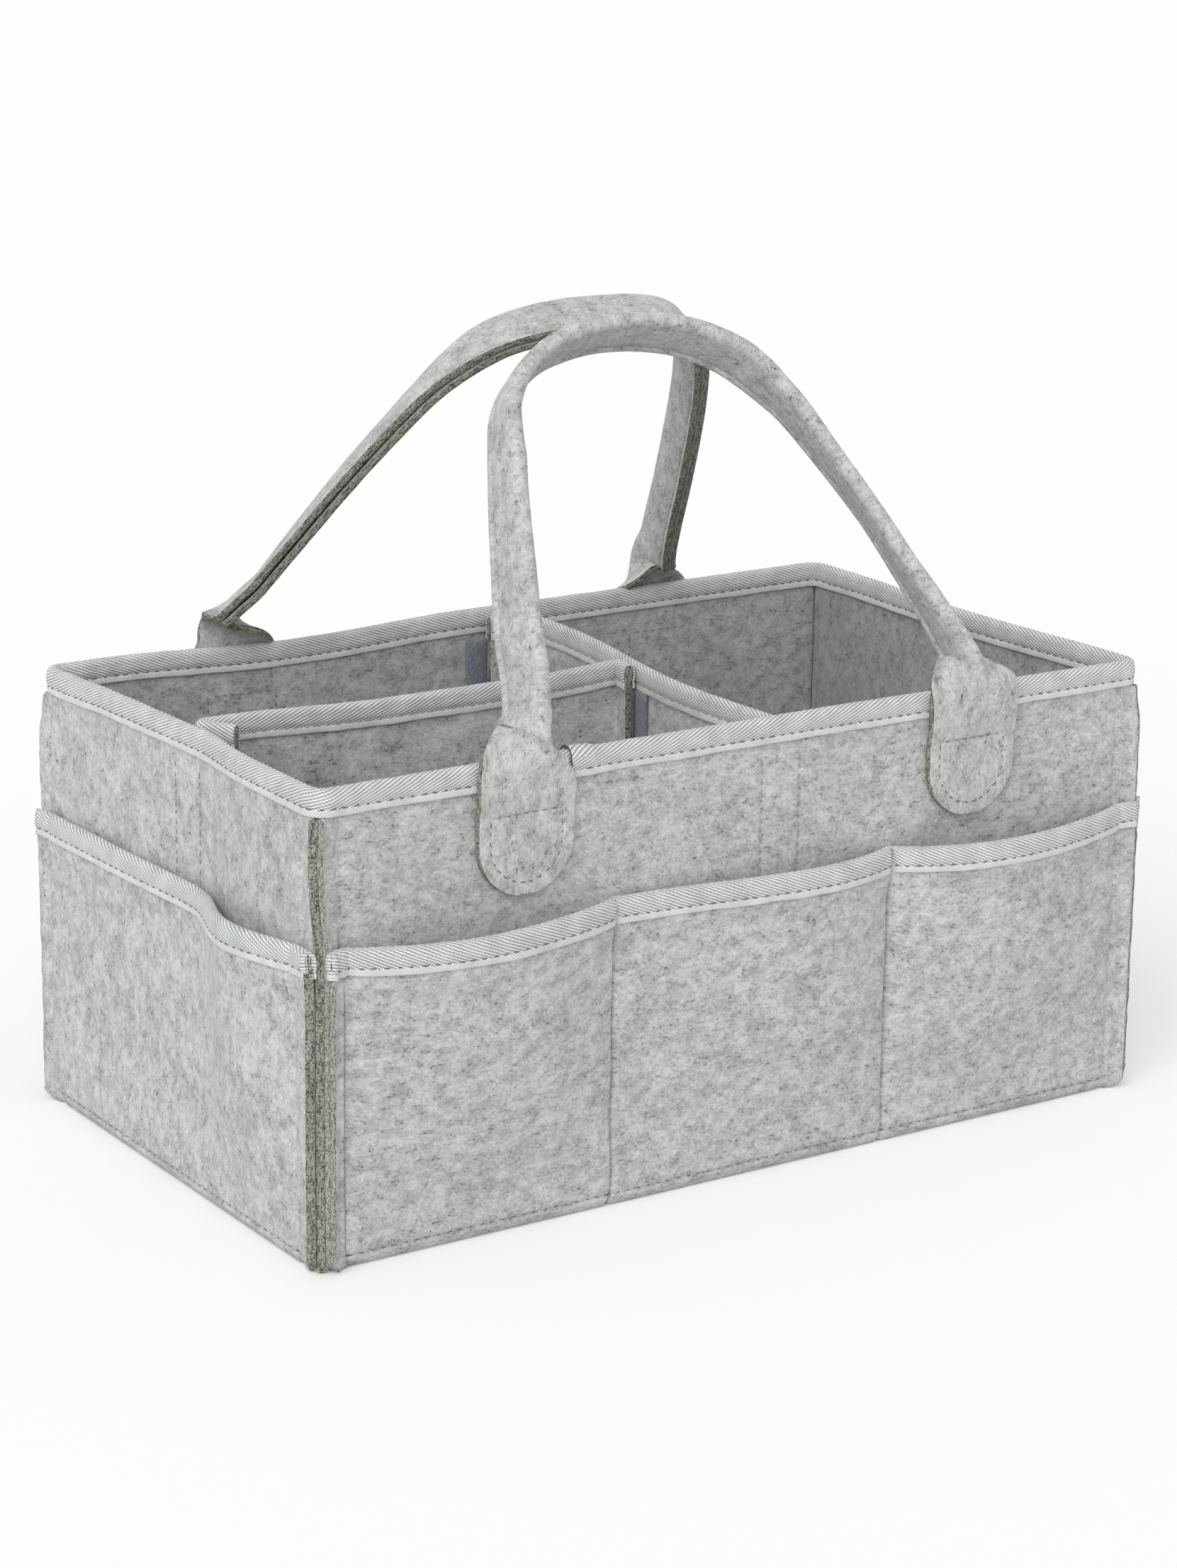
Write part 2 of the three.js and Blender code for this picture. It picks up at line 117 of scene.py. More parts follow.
# Smooth random field between -1 and 1: random numbers on a cubic lattice of the given cell,
# blended between its corners with a smooth step.
def softNoise(points, cell, seed):
    place = np.asarray(points, float) / cell + latticeMix["seedShift"] * seed
    low = np.floor(place).astype(np.int64)
    part = smooth(place - low)
    total = np.zeros(place.shape[:-1])
    for corner in range(8):
        step = np.array([corner & 1, corner >> 1 & 1, corner >> 2 & 1])
        mix = np.bitwise_xor.reduce((low + step) * latticeMix["primes"], axis=-1)
        mix = (mix ^ (mix >> 13)) * latticeMix["last"]
        value = ((mix ^ (mix >> 16)) & 0xFFFF) / 32767.5 - 1.0
        total += value * np.prod(np.where(step == 1, part, 1.0 - part), axis=-1)
    return total


# A smooth curve through given points, as a cubic between each two of them, sampled
# at the given number of even steps of length.
def curveThrough(knots, count):
    ends = np.vstack([2 * knots[0] - knots[1], knots, 2 * knots[-1] - knots[-2]])
    t = np.linspace(0, 1, 24, endpoint=False)[:, None]
    spans = []
    for k in range(len(knots) - 1):
        a, b, c, d = ends[k:k + 4]
        spans.append(0.5 * (2 * b + (c - a) * t + (2 * a - 5 * b + 4 * c - d) * t ** 2
                            + (3 * b - a - 3 * c + d) * t ** 3))
    line = np.vstack(spans + [knots[-1:]])
    run = runAlong(line)
    return pointsAt(np.linspace(0, run[-1], count), run, line)


# Puts a solid in the scene: its points, its faces, which of the materials each face takes,
# and for each point the flat position on its cloth, in millimetres, that the materials
# read, so a pattern follows the cloth. A face of three corners repeats its last one.
def addPiece(name, solid, materials, replaced=None, body="box"):
    points, faces, kinds, places = solid
    corner = points[faces]
    volume = 0.0
    for k in (1, 2):
        across = np.cross(corner[:, k], corner[:, k + 1])
        volume += np.einsum("ij,ij->i", corner[:, 0], across).sum()
    turn = -1 if volume < 0 else 1
    short = faces[:, 2] == faces[:, 3]
    lists = [face[:3 if three else 4].tolist()[::turn] for face, three in zip(faces, short)]
    mesh = bpy.data.meshes.new(name)
    mesh.from_pydata((points * 0.001).tolist(), [], lists)
    for material in materials:
        mesh.materials.append(material)
    mesh.polygons.foreach_set("material_index", np.asarray(kinds, np.int32))
    mesh.polygons.foreach_set("use_smooth", np.ones(len(lists), bool))
    attribute = mesh.attributes.new("clothPlace", "FLOAT_VECTOR", "POINT")
    attribute.data.foreach_set("vector", np.asarray(places, np.float32).ravel())
    mesh.update()
    piece = newObject(name, mesh)
    if body:
        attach(piece, body)
    if replaced:
        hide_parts(replaced)
    return piece


# How a cut edge is rounded: rows between the two faces, and the size of its roughness.
edgeLook = {"rows": (0.12, 0.36, 0.64, 0.88), "roughCell": 1.3, "rowShift": 40}


# A band of faces between two loops of points.
def band(first, second):
    return together(first, second, np.roll(second, -1), np.roll(first, -1))


# Two faces of a cloth, each a grid of columns and rows, joined round their rim by narrow
# rows that bulge a little, as a cut edge does. Kind 0 is the cloth's faces and 1 its edge.
def clothSolid(outer, inner, place, thickness, bulge=0.3, rough=0.0, seed=1):
    columns, rows = outer.shape[:2]
    count = columns * rows
    index = np.arange(count).reshape(columns, rows)
    quad = together(index[:-1, :-1], index[1:, :-1], index[1:, 1:], index[:-1, 1:])
    quad = quad.reshape(-1, 4)
    loop = joined(index[:-1, 0], index[-1, :-1], index[:0:-1, -1], index[0, :0:-1])
    within = joined(index[:-1, 1], index[-2, :-1], index[:0:-1, -2], index[1, :0:-1])
    outer, inner, place = (grid.reshape(-1, 3) for grid in (outer, inner, place))
    middle = outer + inner
    away = unit(middle[loop] - middle[within])
    depth = np.array([0, 0, thickness])
    points = [outer, inner]
    places = [place, place + depth]
    faces = [quad, quad[:, ::-1] + count]
    previous = loop
    for step, t in enumerate(edgeLook["rows"]):
        between = outer[loop] * (1 - t) + inner[loop] * t
        reach = bulge * (1 - (2 * t - 1) ** 2)
        if rough:
            shifted = between + edgeLook["rowShift"] * step
            reach = reach + rough * softNoise(shifted, edgeLook["roughCell"], seed)
        points.append(between + away * np.reshape(reach, (-1, 1)))
        places.append(place[loop] + depth * t)
        current = 2 * count + step * len(loop) + np.arange(len(loop))
        faces.append(band(previous, current))
        previous = current
    faces.append(band(previous, loop + count))
    kinds = np.repeat([0, 1], [2 * len(quad), (len(edgeLook["rows"]) + 1) * len(loop)])
    return np.vstack(points), np.vstack(faces), kinds, np.vstack(places)


# Adds a shader node. An input may be a value or another node's output.
def node(tree, kind, inputs, **settings):
    made = tree.nodes.new("ShaderNode" + kind)
    for key, value in settings.items():
        setattr(made, key, value)
    for key, value in inputs.items():
        if isinstance(value, bpy.types.NodeSocket):
            tree.links.new(value, made.inputs[key])
        else:
            made.inputs[key].default_value = value
    return made.outputs


def calc(tree, operation, *values):
    return node(tree, "Math", dict(enumerate(values)), operation=operation)[0]


def scaled(tree, value, factor, added):
    return calc(tree, "MULTIPLY_ADD", value, factor, added)


# Adds a noise field, which lies round a half, to a share with the given weight.
def weighed(tree, field, weight, share):
    return scaled(tree, calc(tree, "SUBTRACT", field, 0.5), weight, share)


# Keeps a value between 0 and 1.
def held(tree, value):
    return calc(tree, "MINIMUM", calc(tree, "MAXIMUM", value, 0.0), 1.0)


def ramp(tree, value, low, high, start=0.0, end=1.0):
    inputs = {"Value": value, "From Min": low, "From Max": high, "To Min": start, "To Max": end}
    return node(tree, "MapRange", inputs, interpolation_type="SMOOTHSTEP")[0]


def mixColour(tree, share, first, second):
    inputs = {0: share, 6: first, 7: second}
    return node(tree, "Mix", inputs, data_type="RGBA")[2]


unstretched = (1, 1, 1)


# The place on the cloth in millimetres, stretched by the given factors.
def clothPlace(tree, stretch=unstretched, shift=0.0):
    place = node(tree, "Attribute", {}, attribute_name="clothPlace")["Vector"]
    inputs = {"Vector": place, "Scale": stretch, "Location": (shift, shift, shift)}
    return node(tree, "Mapping", inputs)[0]


def noise(tree, stretch, scale, detail, roughness=0.6, shift=0.0, distortion=0.0):
    inputs = {"Vector": clothPlace(tree, stretch, shift), "Scale": scale, "Detail": detail,
              "Roughness": roughness, "Distortion": distortion}
    return node(tree, "TexNoise", inputs)[0]


# A colour given as red, green and blue from 0 to 255.
def tone(red, green, blue):
    parts = [v / 255 for v in (red, green, blue)]
    linear = [v / 12.92 if v <= 0.04045 else ((v + 0.055) / 1.055) ** 2.4 for v in parts]
    return (*linear, 1.0)


def shaded(colour, share):
    return tuple(share * v for v in colour[:3]) + (1.0,)


def newMaterial(name, roughness, sheen):
    material = bpy.data.materials.new(name)
    material.use_nodes = True
    shader = material.node_tree.nodes["Principled BSDF"]
    shader.inputs["Roughness"].default_value = roughness
    shader.inputs["Specular IOR Level"].default_value = 0.25
    shader.inputs["Sheen Weight"].default_value = sheen
    shader.inputs["Sheen Roughness"].default_value = 0.6
    return material, material.node_tree, shader


def finish(tree, shader, colour, height, distance, strength):
    tree.links.new(colour, shader.inputs["Base Color"])
    inputs = {"Height": height, "Distance": distance, "Strength": strength}
    tree.links.new(node(tree, "Bump", inputs)[0], shader.inputs["Normal"])


# Short dark fibres: thin contour lines of a stretched noise, kept only in patches.
def fibres(tree, stretch, shift, low, high):
    field = noise(tree, stretch, 1.0, 2.0, 0.55, shift, 1.4)
    ridge = calc(tree, "ABSOLUTE", calc(tree, "SUBTRACT", field, 0.5))
    line = ramp(tree, ridge, 0.0, feltLook["fibreWidth"], 1.0, 0.0)
    patch = noise(tree, unstretched, 0.42, 3.0, 0.6, shift + 50)
    return calc(tree, "MULTIPLY", line, ramp(tree, patch, low, high))


# Each of the felt's layers has a scale, a detail and a weight in the colour.
feltLook = {
    "light": tone(217, 217, 215), "dark": tone(136, 136, 135), "fibre": tone(78, 78, 78),
    "paleShare": 0.66, "clouds": (0.06, 2.0, 0.65), "blotches": (0.2, 3.0, 1.3),
    "tufts": (0.75, 3.0, 1.25), "grain": (2.2, 2.0, 0.75), "layerRoughness": 0.62,
    "fibreWidth": 0.03, "fibrePatch": (0.47, 0.6), "crossPatch": (0.52, 0.64),
    "fleckRange": (0.56, 0.68), "fleckBlotch": (0.53, 0.38), "bump": 0.0007,
}


# Pressed grey felt: pale clouds, darker blotches of a few millimetres and tufts of about
# one, with short dark fibres and specks that gather in patches. along says which way the
# fibres mostly lie on the cloth. A shade below 1 darkens it all as painted shade.
def feltMaterial(name, along, shade=1.0):
    look = feltLook
    material, tree, shader = newMaterial(name, 0.95, 0.18)
    fields = {}
    share = look["paleShare"]
    for layer in ("clouds", "blotches", "tufts", "grain"):
        scale, detail, weight = look[layer]
        stretch = unstretched if layer == "clouds" else along
        fields[layer] = noise(tree, stretch, scale, detail, look["layerRoughness"])
        share = weighed(tree, fields[layer], weight, share)
    colour = mixColour(tree, held(tree, share), shaded(look["dark"], shade), shaded(look["light"], shade))
    lines = fibres(tree, tuple(0.5 * v for v in along), 7.0, *look["fibrePatch"])
    across = fibres(tree, tuple(0.6 * v for v in (along[1], along[0], 1)), 23.0, *look["crossPatch"])
    fleck = noise(tree, (0.85 * along[0], 1.15 * along[1], 1), 0.85, 2.0, 0.55, 90.0)
    flecks = calc(tree, "MULTIPLY", ramp(tree, fleck, *look["fleckRange"]),
                  ramp(tree, fields["blotches"], *look["fleckBlotch"]))
    marks = calc(tree, "MAXIMUM", calc(tree, "MAXIMUM", lines, across), flecks)
    marks = calc(tree, "MULTIPLY", marks, ramp(tree, fields["grain"], 0.35, 0.6, 0.4, 0.95))
    colour = mixColour(tree, marks, colour, look["fibre"])
    height = scaled(tree, fields["tufts"], 0.6, calc(tree, "MULTIPLY", fields["grain"], 0.4))
    height = scaled(tree, marks, -0.12, height)
    finish(tree, shader, colour, height, look["bump"], 0.5)
    return material


# A cut felt edge: darker, with fibrous layers that run along the edge.
def rawMaterial(name, dark, light):
    material, tree, shader = newMaterial(name, 1.0, 0.1)
    layers = noise(tree, (0.3, 0.3, 1.2), 1.0, 3.0)
    speckle = noise(tree, (0.9, 0.9, 1.5), 1.3, 3.0, 0.7)
    share = weighed(tree, speckle, 4.4, weighed(tree, layers, 2.6, 0.5))
    colour = mixColour(tree, held(tree, share), dark, light)
    finish(tree, shader, colour, calc(tree, "ADD", layers, speckle), 0.0007, 0.8)
    return material


# Each of the tape's ribs has a slope and a pitch.
tapeLook = {
    "light": tone(252, 253, 252), "dark": tone(134, 138, 141), "width": 21.8, "hem": 2.3,
    "main": (0.42, 1.2), "steep": (1.6, 1.65), "fine": (0.75, 0.85), "knots": (-2.0, 1.5),
    "wander": 1.6, "hemBlend": 0.15, "bump": 0.00035,
}


# Woven twill tape: slanting ribs crossed by small knots, and a finer selvedge band along
# both hems with its ribs the other way. The first place value runs along the tape, the
# second across it. lean is 1 or -1 for ribs that rise to the right or to the left.
def tapeMaterial(name, lean=1):
    look = tapeLook
    material, tree, shader = newMaterial(name, 0.7, 0.15)
    place = node(tree, "SeparateXYZ", {"Vector": clothPlace(tree)})
    wander = noise(tree, unstretched, 0.12, 2.0, 0.5)
    along = scaled(tree, wander, look["wander"], place[0])
    fromMiddle = calc(tree, "ABSOLUTE", calc(tree, "SUBTRACT", place[1], look["width"] / 2))

    def ribs(kind, rise, turned=1):
        slope, pitch = look[kind]
        rib = scaled(tree, along, turned * slope, rise)
        wave = calc(tree, "SINE", calc(tree, "MULTIPLY", rib, 2 * math.pi / pitch))
        return scaled(tree, wave, 0.5, 0.5)

    steep = calc(tree, "MULTIPLY", ribs("steep", place[1]), 0.25)
    weave = scaled(tree, ribs("main", fromMiddle, lean), 0.75, steep)
    knots = scaled(tree, ribs("knots", place[1]), 0.3, 0.3)
    selvedge = scaled(tree, ribs("fine", place[1]), 0.45, knots)
    edge = look["width"] / 2 - look["hem"]
    hem = ramp(tree, fromMiddle, edge - look["hemBlend"], edge + look["hemBlend"])
    pattern = node(tree, "Mix", {0: hem, 2: weave, 3: selvedge})[0]
    fuzz = noise(tree, unstretched, 1.7, 3.0, 0.7)
    share = weighed(tree, wander, 0.5, weighed(tree, fuzz, 0.5, pattern))
    colour = mixColour(tree, held(tree, share), look["dark"], look["light"])
    finish(tree, shader, colour, pattern, look["bump"], 0.8)
    return material


# Hook and loop strip: a flat nap of tiny loops in rows.
def stripMaterial(name):
    material, tree, shader = newMaterial(name, 0.85, 0.3)
    nap = noise(tree, unstretched, 2.2, 4.0, 0.75)
    rows = node(tree, "TexVoronoi", {"Vector": clothPlace(tree, (1.1, 0.8, 1)), "Scale": 1.0})[0]
    share = held(tree, weighed(tree, nap, 1.6, rows))
    colour = mixColour(tree, share, tone(104, 108, 124), tone(156, 160, 172))
    finish(tree, shader, colour, share, 0.0004, 0.8)
    return material


# Sewing thread, with painted shade where its strands turn away.
def threadMaterial(name, colour):
    material, tree, shader = newMaterial(name, 0.6, 0.1)
    twist = noise(tree, (3, 3, 3), 1.0, 2.0)
    finish(tree, shader, mixColour(tree, twist, shaded(colour, 0.6), colour), twist, 0.0001, 0.5)
    return material


frontFelt = feltMaterial("felt, fibres level", (0.8, 1.1, 1))
endFelt = feltMaterial("felt, fibres upright", (1.2, 0.8, 1))
strapFelt = feltMaterial("felt, strap", (0.75, 1.0, 1))
# Painted shade: darker copies of the felt for the walls' inner faces, standing in for the shade inside the
# box, darkest on the ends.
paintedShadeFelt = feltMaterial("felt, painted shade inside", (0.8, 1.1, 1), 0.87)
paintedShadeEnd = feltMaterial("felt, painted shade inside an end", (1.2, 0.8, 1), 0.72)
rawFelt = rawMaterial("cut felt edge", tone(64, 64, 56), tone(180, 178, 164))
rawPale = rawMaterial("cut felt edge, pale", tone(104, 104, 98), tone(202, 201, 194))
tapeCloth = tapeMaterial("twill tape")
pocketTape = tapeMaterial("pocket twill tape", -1)
# Painted shade: a dark grey for a tape's cut end faces, standing in for the shadow at the rim tape's lapped
# end.
tapeEndShade = threadMaterial("cut tape end, painted shade", tone(96, 98, 98))
stripCloth = stripMaterial("hook and loop")
darkThread = threadMaterial("grey thread", tone(118, 120, 124))
paleThread = threadMaterial("pale thread", tone(176, 178, 180))
# Each side's felt, its cut edge, and the darker felt with painted shade for its inner face.
sideFelts = {
    "front": [frontFelt, rawPale, paintedShadeFelt], "back": [frontFelt, rawPale, paintedShadeFelt],
    "left": [endFelt, rawFelt, paintedShadeEnd], "right": [endFelt, rawFelt, paintedShadeEnd],
}
print("materials made")


# A place beside one side of the box: u runs along the wall and w outwards from the wall's
# inner face.
def onSide(side, u, w, z):
    if side == "front":
        return together(u, -innerY - w, z)
    if side == "right":
        return together(innerX + w, u, z)
    if side == "back":
        return together(-u, innerY + w, z)
    return together(-innerX - w, -u, z)


# The directions in which a side's u and w grow.
def sideAxes(side):
    start = onSide(side, 0.0, 0.0, 0.0)
    return onSide(side, 1.0, 0.0, 0.0) - start, onSide(side, 0.0, 1.0, 0.0) - start


# How the soft box has settled: each wall's upper part is drawn inwards in the middle, the
# left end with a soft upright crease, the rim dips over the left end and the back, and
# everything wavers a little. A pair here is a start and a run, or a middle and a width.
slump = {
    "rise": (8, 37), "endBow": 5, "sideBow": 1, "creaseDepth": 5.6, "creaseY": -13,
    "creaseNear": 30, "creaseFar": 62, "creasePower": 1.7, "toCorner": (-6, 24),
    "sway": 0.45, "swayRise": (0, 60), "dipRise": (60, 90), "leftDip": 0.9, "leftWide": 70,
    "overLeft": (120, 50), "backDip": 0.8, "hollow": 2.6, "hollowAt": (-80, 80), "overBack": (60, 35),
}


def settle(points):
    look = slump
    x, y, z = points[..., 0], points[..., 1], points[..., 2]
    rise = smooth(z, *look["rise"])
    fromCrease = y - look["creaseY"]
    spread = np.where(fromCrease < 0, look["creaseNear"], look["creaseFar"])
    crease = look["creaseDepth"] * np.exp(-np.abs(fromCrease / spread) ** look["creasePower"])
    crease = crease * smooth(innerY - np.abs(y), *look["toCorner"])
    inward = np.where(x < 0, crease, look["endBow"] * hill(y / innerY))
    dx = inward * rise * x / innerX
    dy = look["sideBow"] * hill(x / innerX) * rise * y / innerY
    sway = look["sway"] * smooth(z, *look["swayRise"])
    dx = dx + sway * softNoise(points, 74, 3)
    dy = dy + sway * softNoise(points, 66, 5)
    high = smooth(z, *look["dipRise"])
    dz = -look["leftDip"] * hill(fromCrease / look["leftWide"]) * high * smooth(-x, *look["overLeft"])
    backDip = look["backDip"] + look["hollow"] * hill(x, *look["hollowAt"])
    dz = dz - backDip * high * smooth(y, *look["overBack"])
    return together(x - dx, y - dy, z + dz)


# The seams at the corners. The near corner's seam is drawn over towards the front below
# the pockets' tops; there the end's felt is full and the front's pressed thin.
corners = {
    "drawn": 3.2, "drawnTop": 1.0, "drawnRise": (108, 50), "felt": 2.6, "endFelt": 3.35,
    "frontFelt": 2.1, "gap": 0.06, "between": 0.12, "shortest": 0.6, "lead": 2.2, "over": 1.3,
    "roundRise": (168.6, 1.2), "topCut": 2.0, "topRise": (150, 19),
}


# How far the seam is drawn over, and the felt's thickness in it.
def cornerSeam(side, sign, z):
    less = (corners["drawn"] - corners["drawnTop"]) * smooth(z, *corners["drawnRise"])
    drawn = corners["drawn"] - less
    if side == "front" and sign < 0:
        return drawn, corners["frontFelt"]
    if side == "left" and sign > 0:
        return -drawn, corners["endFelt"]
    return 0.0 * z, corners["felt"]


# Plan of one felt layer of a side: the wall's run and at each end a rounded bend and the
# seam fin that stands out on the corner's diagonal, with its cut end outwards. Number 0 is
# the wall and 1 the pocket, face 0 the layer's inner face and 1 its outer one. Above the
# binding's hem a wall's fins give way to a round corner.
def layerPlan(side, places, z, face, layer):
    half = sideHalf[side]
    number, inset, thickness, reach = (layer[key] for key in ("number", "inset", "thickness", "reach"))
    u, height = np.broadcast_arrays(places[:, None], z)
    wall = together(u, inset(side, u, height) + face * thickness(side, u, height))
    ends = []
    for sign in (-1, 1):
        shift, felt = cornerSeam(side, sign, z)
        edge = inset(side, np.full_like(z, sign * half), z) + face * box["felt"]
        away = shift + corners["gap"] + number * (felt + corners["between"]) + face * felt
        bend = root2 * edge - away

        def fin(far):
            return together(half + (far - away) / root2, (far + away) / root2)

        tip = np.maximum(reach(z), bend + corners["shortest"])
        start = together(half + (bend - away) / root2 - corners["lead"], edge)
        corner = fin(bend)
        over = fin(np.minimum(bend + corners["over"], tip))
        columns = []
        for t in (0.0, 0.25, 0.5, 0.75, 1.0):
            columns.append((1 - t) ** 2 * start + 2 * t * (1 - t) * corner + t ** 2 * over)
        for t in (0.4, 0.75, 1.0):
            columns.append(over * (1 - t) + fin(tip) * t)
        end = np.stack(columns)
        if number == 0:
            radius = box["rimRadius"]
            turn = np.linspace(0, np.pi / 4 - 0.03, len(end))[:, None] + 0 * z
            deep = radius + face * box["felt"]
            arc = together(half - radius + deep * np.sin(turn), deep * np.cos(turn) - radius)
            top = smooth(z, *corners["roundRise"])[None, :, None]
            end = end * (1 - top) + arc * top
        if sign < 0:
            end = end[::-1]
        end[..., 0] *= sign
        ends.append(end)
    return joined(ends[0], wall, ends[1])


finSteps = np.array([0.0, 0.6, 1.3, 2.0, 2.6, 4.0, 5.6, 7.0])


# How far along the cloth each column of a layer's plan lies, out along its fins too.
def columnPlaces(side, places):
    half = sideHalf[side]
    return joined(-half - finSteps[::-1], places, half + finSteps)


# One felt layer of a side as a solid with cut edges at its fins and at the floor.
def addLayer(name, side, places, rows, layer, replaced):
    u = columnPlaces(side, places)
    height = np.broadcast_to(rows[None, :], (len(u), len(rows)))
    z = height - layer["sag"](side, u)[:, None] * (height / rows[-1]) ** 2
    faces = []
    for face in (1, 0):
        plan = layerPlan(side, places, rows, face, layer)
        faces.append(settle(onSide(side, plan[..., 0], plan[..., 1], z)))
    place = together(u[:, None], height, 90.0 * sideSeed[side] + 17.0 * len(name))
    solid = clothSolid(faces[0], faces[1], place, box["felt"], 0.3, 0.42, sideSeed[side] + 2)
    if layer["number"] == 0:
        # a wall's inner face takes the third felt, a darker copy that paints the shade inside the box
        cells = (len(u) - 1) * (len(rows) - 1)
        solid[2][cells:2 * cells] = 2
    addPiece(name, solid, sideFelts[side], replaced)


# The seams press the felt thin: beside the corner fins, along the base seam and along the
# given upright stitch lines.
seams = {
    "base": 4.6, "basePinch": 1.5, "baseWidth": 0.9, "footPinch": 0.9, "cornerPinch": 0.75,
    "cornerPlace": 7.4, "cornerWidth": 1.5, "linePinch": 2.5, "lineWidth": 0.6, "stripPinch": 0.35,
    "stripWidth": 0.9, "waver": 0.25, "waverLength": 6.1, "calmRun": 20, "tuck": 0.8,
}


def pressed(side, u, z, lines=(), lineTop=1e6):
    fromEnd = sideHalf[side] - np.abs(u)
    pinch = seams["basePinch"] * bell(z, seams["base"], seams["baseWidth"])
    pinch = pinch + seams["footPinch"] * (1 - smooth(z / seams["base"]))
    pinch = pinch + seams["cornerPinch"] * bell(fromEnd, seams["cornerPlace"], seams["cornerWidth"])
    for line in lines:
        waver = seams["waver"] * np.sin(z / seams["waverLength"] + line)
        place = line + waver * smooth((lineTop - z) / seams["calmRun"])
        groove = seams["linePinch"] * np.exp(-np.abs(u - place) / seams["lineWidth"])
        pinch = pinch + groove * (z < lineTop)
    return pinch


# The seam fins taper off below the base seam.
def finFoot(z):
    return 0.3 + 0.7 * smooth((z + 0.6) / seams["base"])


def wallReach(z):
    cut = corners["topCut"] * smooth(z, *corners["topRise"])
    return (box["allowance"] - 0.5 - cut) * finFoot(z)


def pocketReach(z):
    return (np.full_like(z, box["allowance"]) + 0.4) * finFoot(z)


# Even rows, closer together round the given levels.
def unevenRows(low, high, step, *fine):
    rows = list(np.arange(low, high - step / 2, step)) + [high]
    for level, width in fine:
        rows = [z for z in rows if abs(z - level) > width or z in (low, high)]
        rows += list(level + width * np.linspace(-1, 1, 7))
    return np.unique(np.clip(rows, low, high))


lineSteps = np.array([-3, -2, -1.2, -0.8, -0.5, -0.2, 0.1, 0.4, 0.7, 1.1, 2, 3])
lineRoom = 3.2
cornerRoom = 5.6


# Even columns along a side, closer together round its stitch lines.
def unevenPlaces(side, step, lines=()):
    half = sideHalf[side] - cornerRoom
    corner = sideHalf[side] - seams["cornerPlace"]
    places = list(np.linspace(-half, half, int(2 * half / step)))
    for line in [*lines, corner, -corner]:
        places = [u for u in places if abs(u - line) > lineRoom or abs(u) == half]
        places += [v for v in line + lineSteps if abs(v) < half]
    return np.unique(places)


strips = {"top": 166, "foot": 22, "thickness": 1.2, "sunk": 0.9}
wallLines = {"front": (4.7, 22.3), "back": (-22.3, -4.7), "left": (-7.3, 10.3), "right": ()}


def wallInset(side, u, z):
    return np.zeros_like(np.broadcast_arrays(u, z)[0], dtype=float)


def wallThickness(side, u, z):
    pinch = pressed(side, u, z)
    for line in wallLines[side]:
        pinch = pinch + seams["stripPinch"] * bell(u, line, seams["stripWidth"]) * (z < strips["top"])
    return box["felt"] - pinch


def wallSag(side, u):
    return 0 * u


wallLayer = {"number": 0, "inset": wallInset, "thickness": wallThickness, "reach": wallReach, "sag": wallSag}
for side in sideHalf:
    rows = unevenRows(0, underTape(box["rim"]), 4.0, (seams["base"], 3.0), (169.2, 0.9))
    places = unevenPlaces(side, 3.4, wallLines[side])
    addLayer(side + "_wall_felt", side, places, rows, wallLayer, side + "_wall")
print("walls made")

pockets = {
    "height": 122, "seam": 64, "edge": 8, "belly": (4, 60), "flat": 7, "flatRun": 5,
    "outerDepth": 13.5, "middleDepth": 9, "rightDepth": 10, "leftDepth": 1.8, "gape": 6.5,
    "gapeAt": (62, 42), "slowShare": 0.35, "quickShare": 0.65, "waver": 0.5, "waverRise": (10, 20),
}
pocketTop = underTape(pockets["height"])


# How full a pocket stands at its top: a swell between its two seams, whose peak can lie to
# one side.
def swell(u, low, high, lean=1.0):
    t = np.clip((u - low) / (high - low), 0, 1) ** lean
    return np.sin(np.pi * t) ** 0.85


def pocketDepth(side, u):
    edge = sideHalf[side] - pockets["edge"]
    seam = pockets["seam"]
    if side == "right":
        return pockets["rightDepth"] * swell(u, -edge, edge)
    if side == "left":
        return pockets["leftDepth"] * swell(u, -edge, edge) + pockets["gape"] * hill(u, *pockets["gapeAt"])
    full = pockets["outerDepth"] * swell(u, -edge, -seam, 0.95)
    full = full + pockets["outerDepth"] * swell(u, seam, edge, 0.85)
    return full + pockets["middleDepth"] * swell(u, -seam, seam, 1.9 if side == "front" else 1.0)


# A full pocket's edge hangs a little lower.
def pocketSag(side, u):
    edge = sideHalf[side] - pockets["edge"]
    seam = pockets["seam"]
    if side in ("left", "right"):
        return 0.6 * swell(u, -edge, edge)
    return 0.6 * swell(u, -edge, -seam) + 0.4 * swell(u, -seam, seam) + 1.2 * swell(u, seam, edge)


# How far a pocket's inner face lies from the wall's: it leaves the wall at the foot, swells
# to its full depth at the top, and stands clear of its own tape there.
def pocketInset(side, u, z):
    nearTop = smooth(z, pocketTop - box["tapeDrop"] - pockets["flat"], pockets["flatRun"])
    slow = smooth(z, slump["rise"][0], pocketTop - slump["rise"][0])
    lift = pockets["slowShare"] * slow + pockets["quickShare"] * smooth(z, *pockets["belly"])
    waver = pockets["waver"] * softNoise(together(u, z, 9.0), 34, 7 + sideSeed[side])
    waver = waver * np.minimum(1, pocketDepth(side, u) / 4) * smooth(z, *pockets["waverRise"])
    return (box["felt"] + box["gap"] + (box["tape"] + box["gap"]) * nearTop
            + pocketDepth(side, u) * lift + waver
            - (seams["footPinch"] + seams["tuck"]) * (1 - smooth(z / seams["base"])))


pocketLines = {"front": (-64, 64), "back": (-64, 64), "left": (), "right": ()}


def pocketThickness(side, u, z):
    return box["felt"] - pressed(side, u, z, pocketLines[side], pocketTop - box["tapeDrop"])


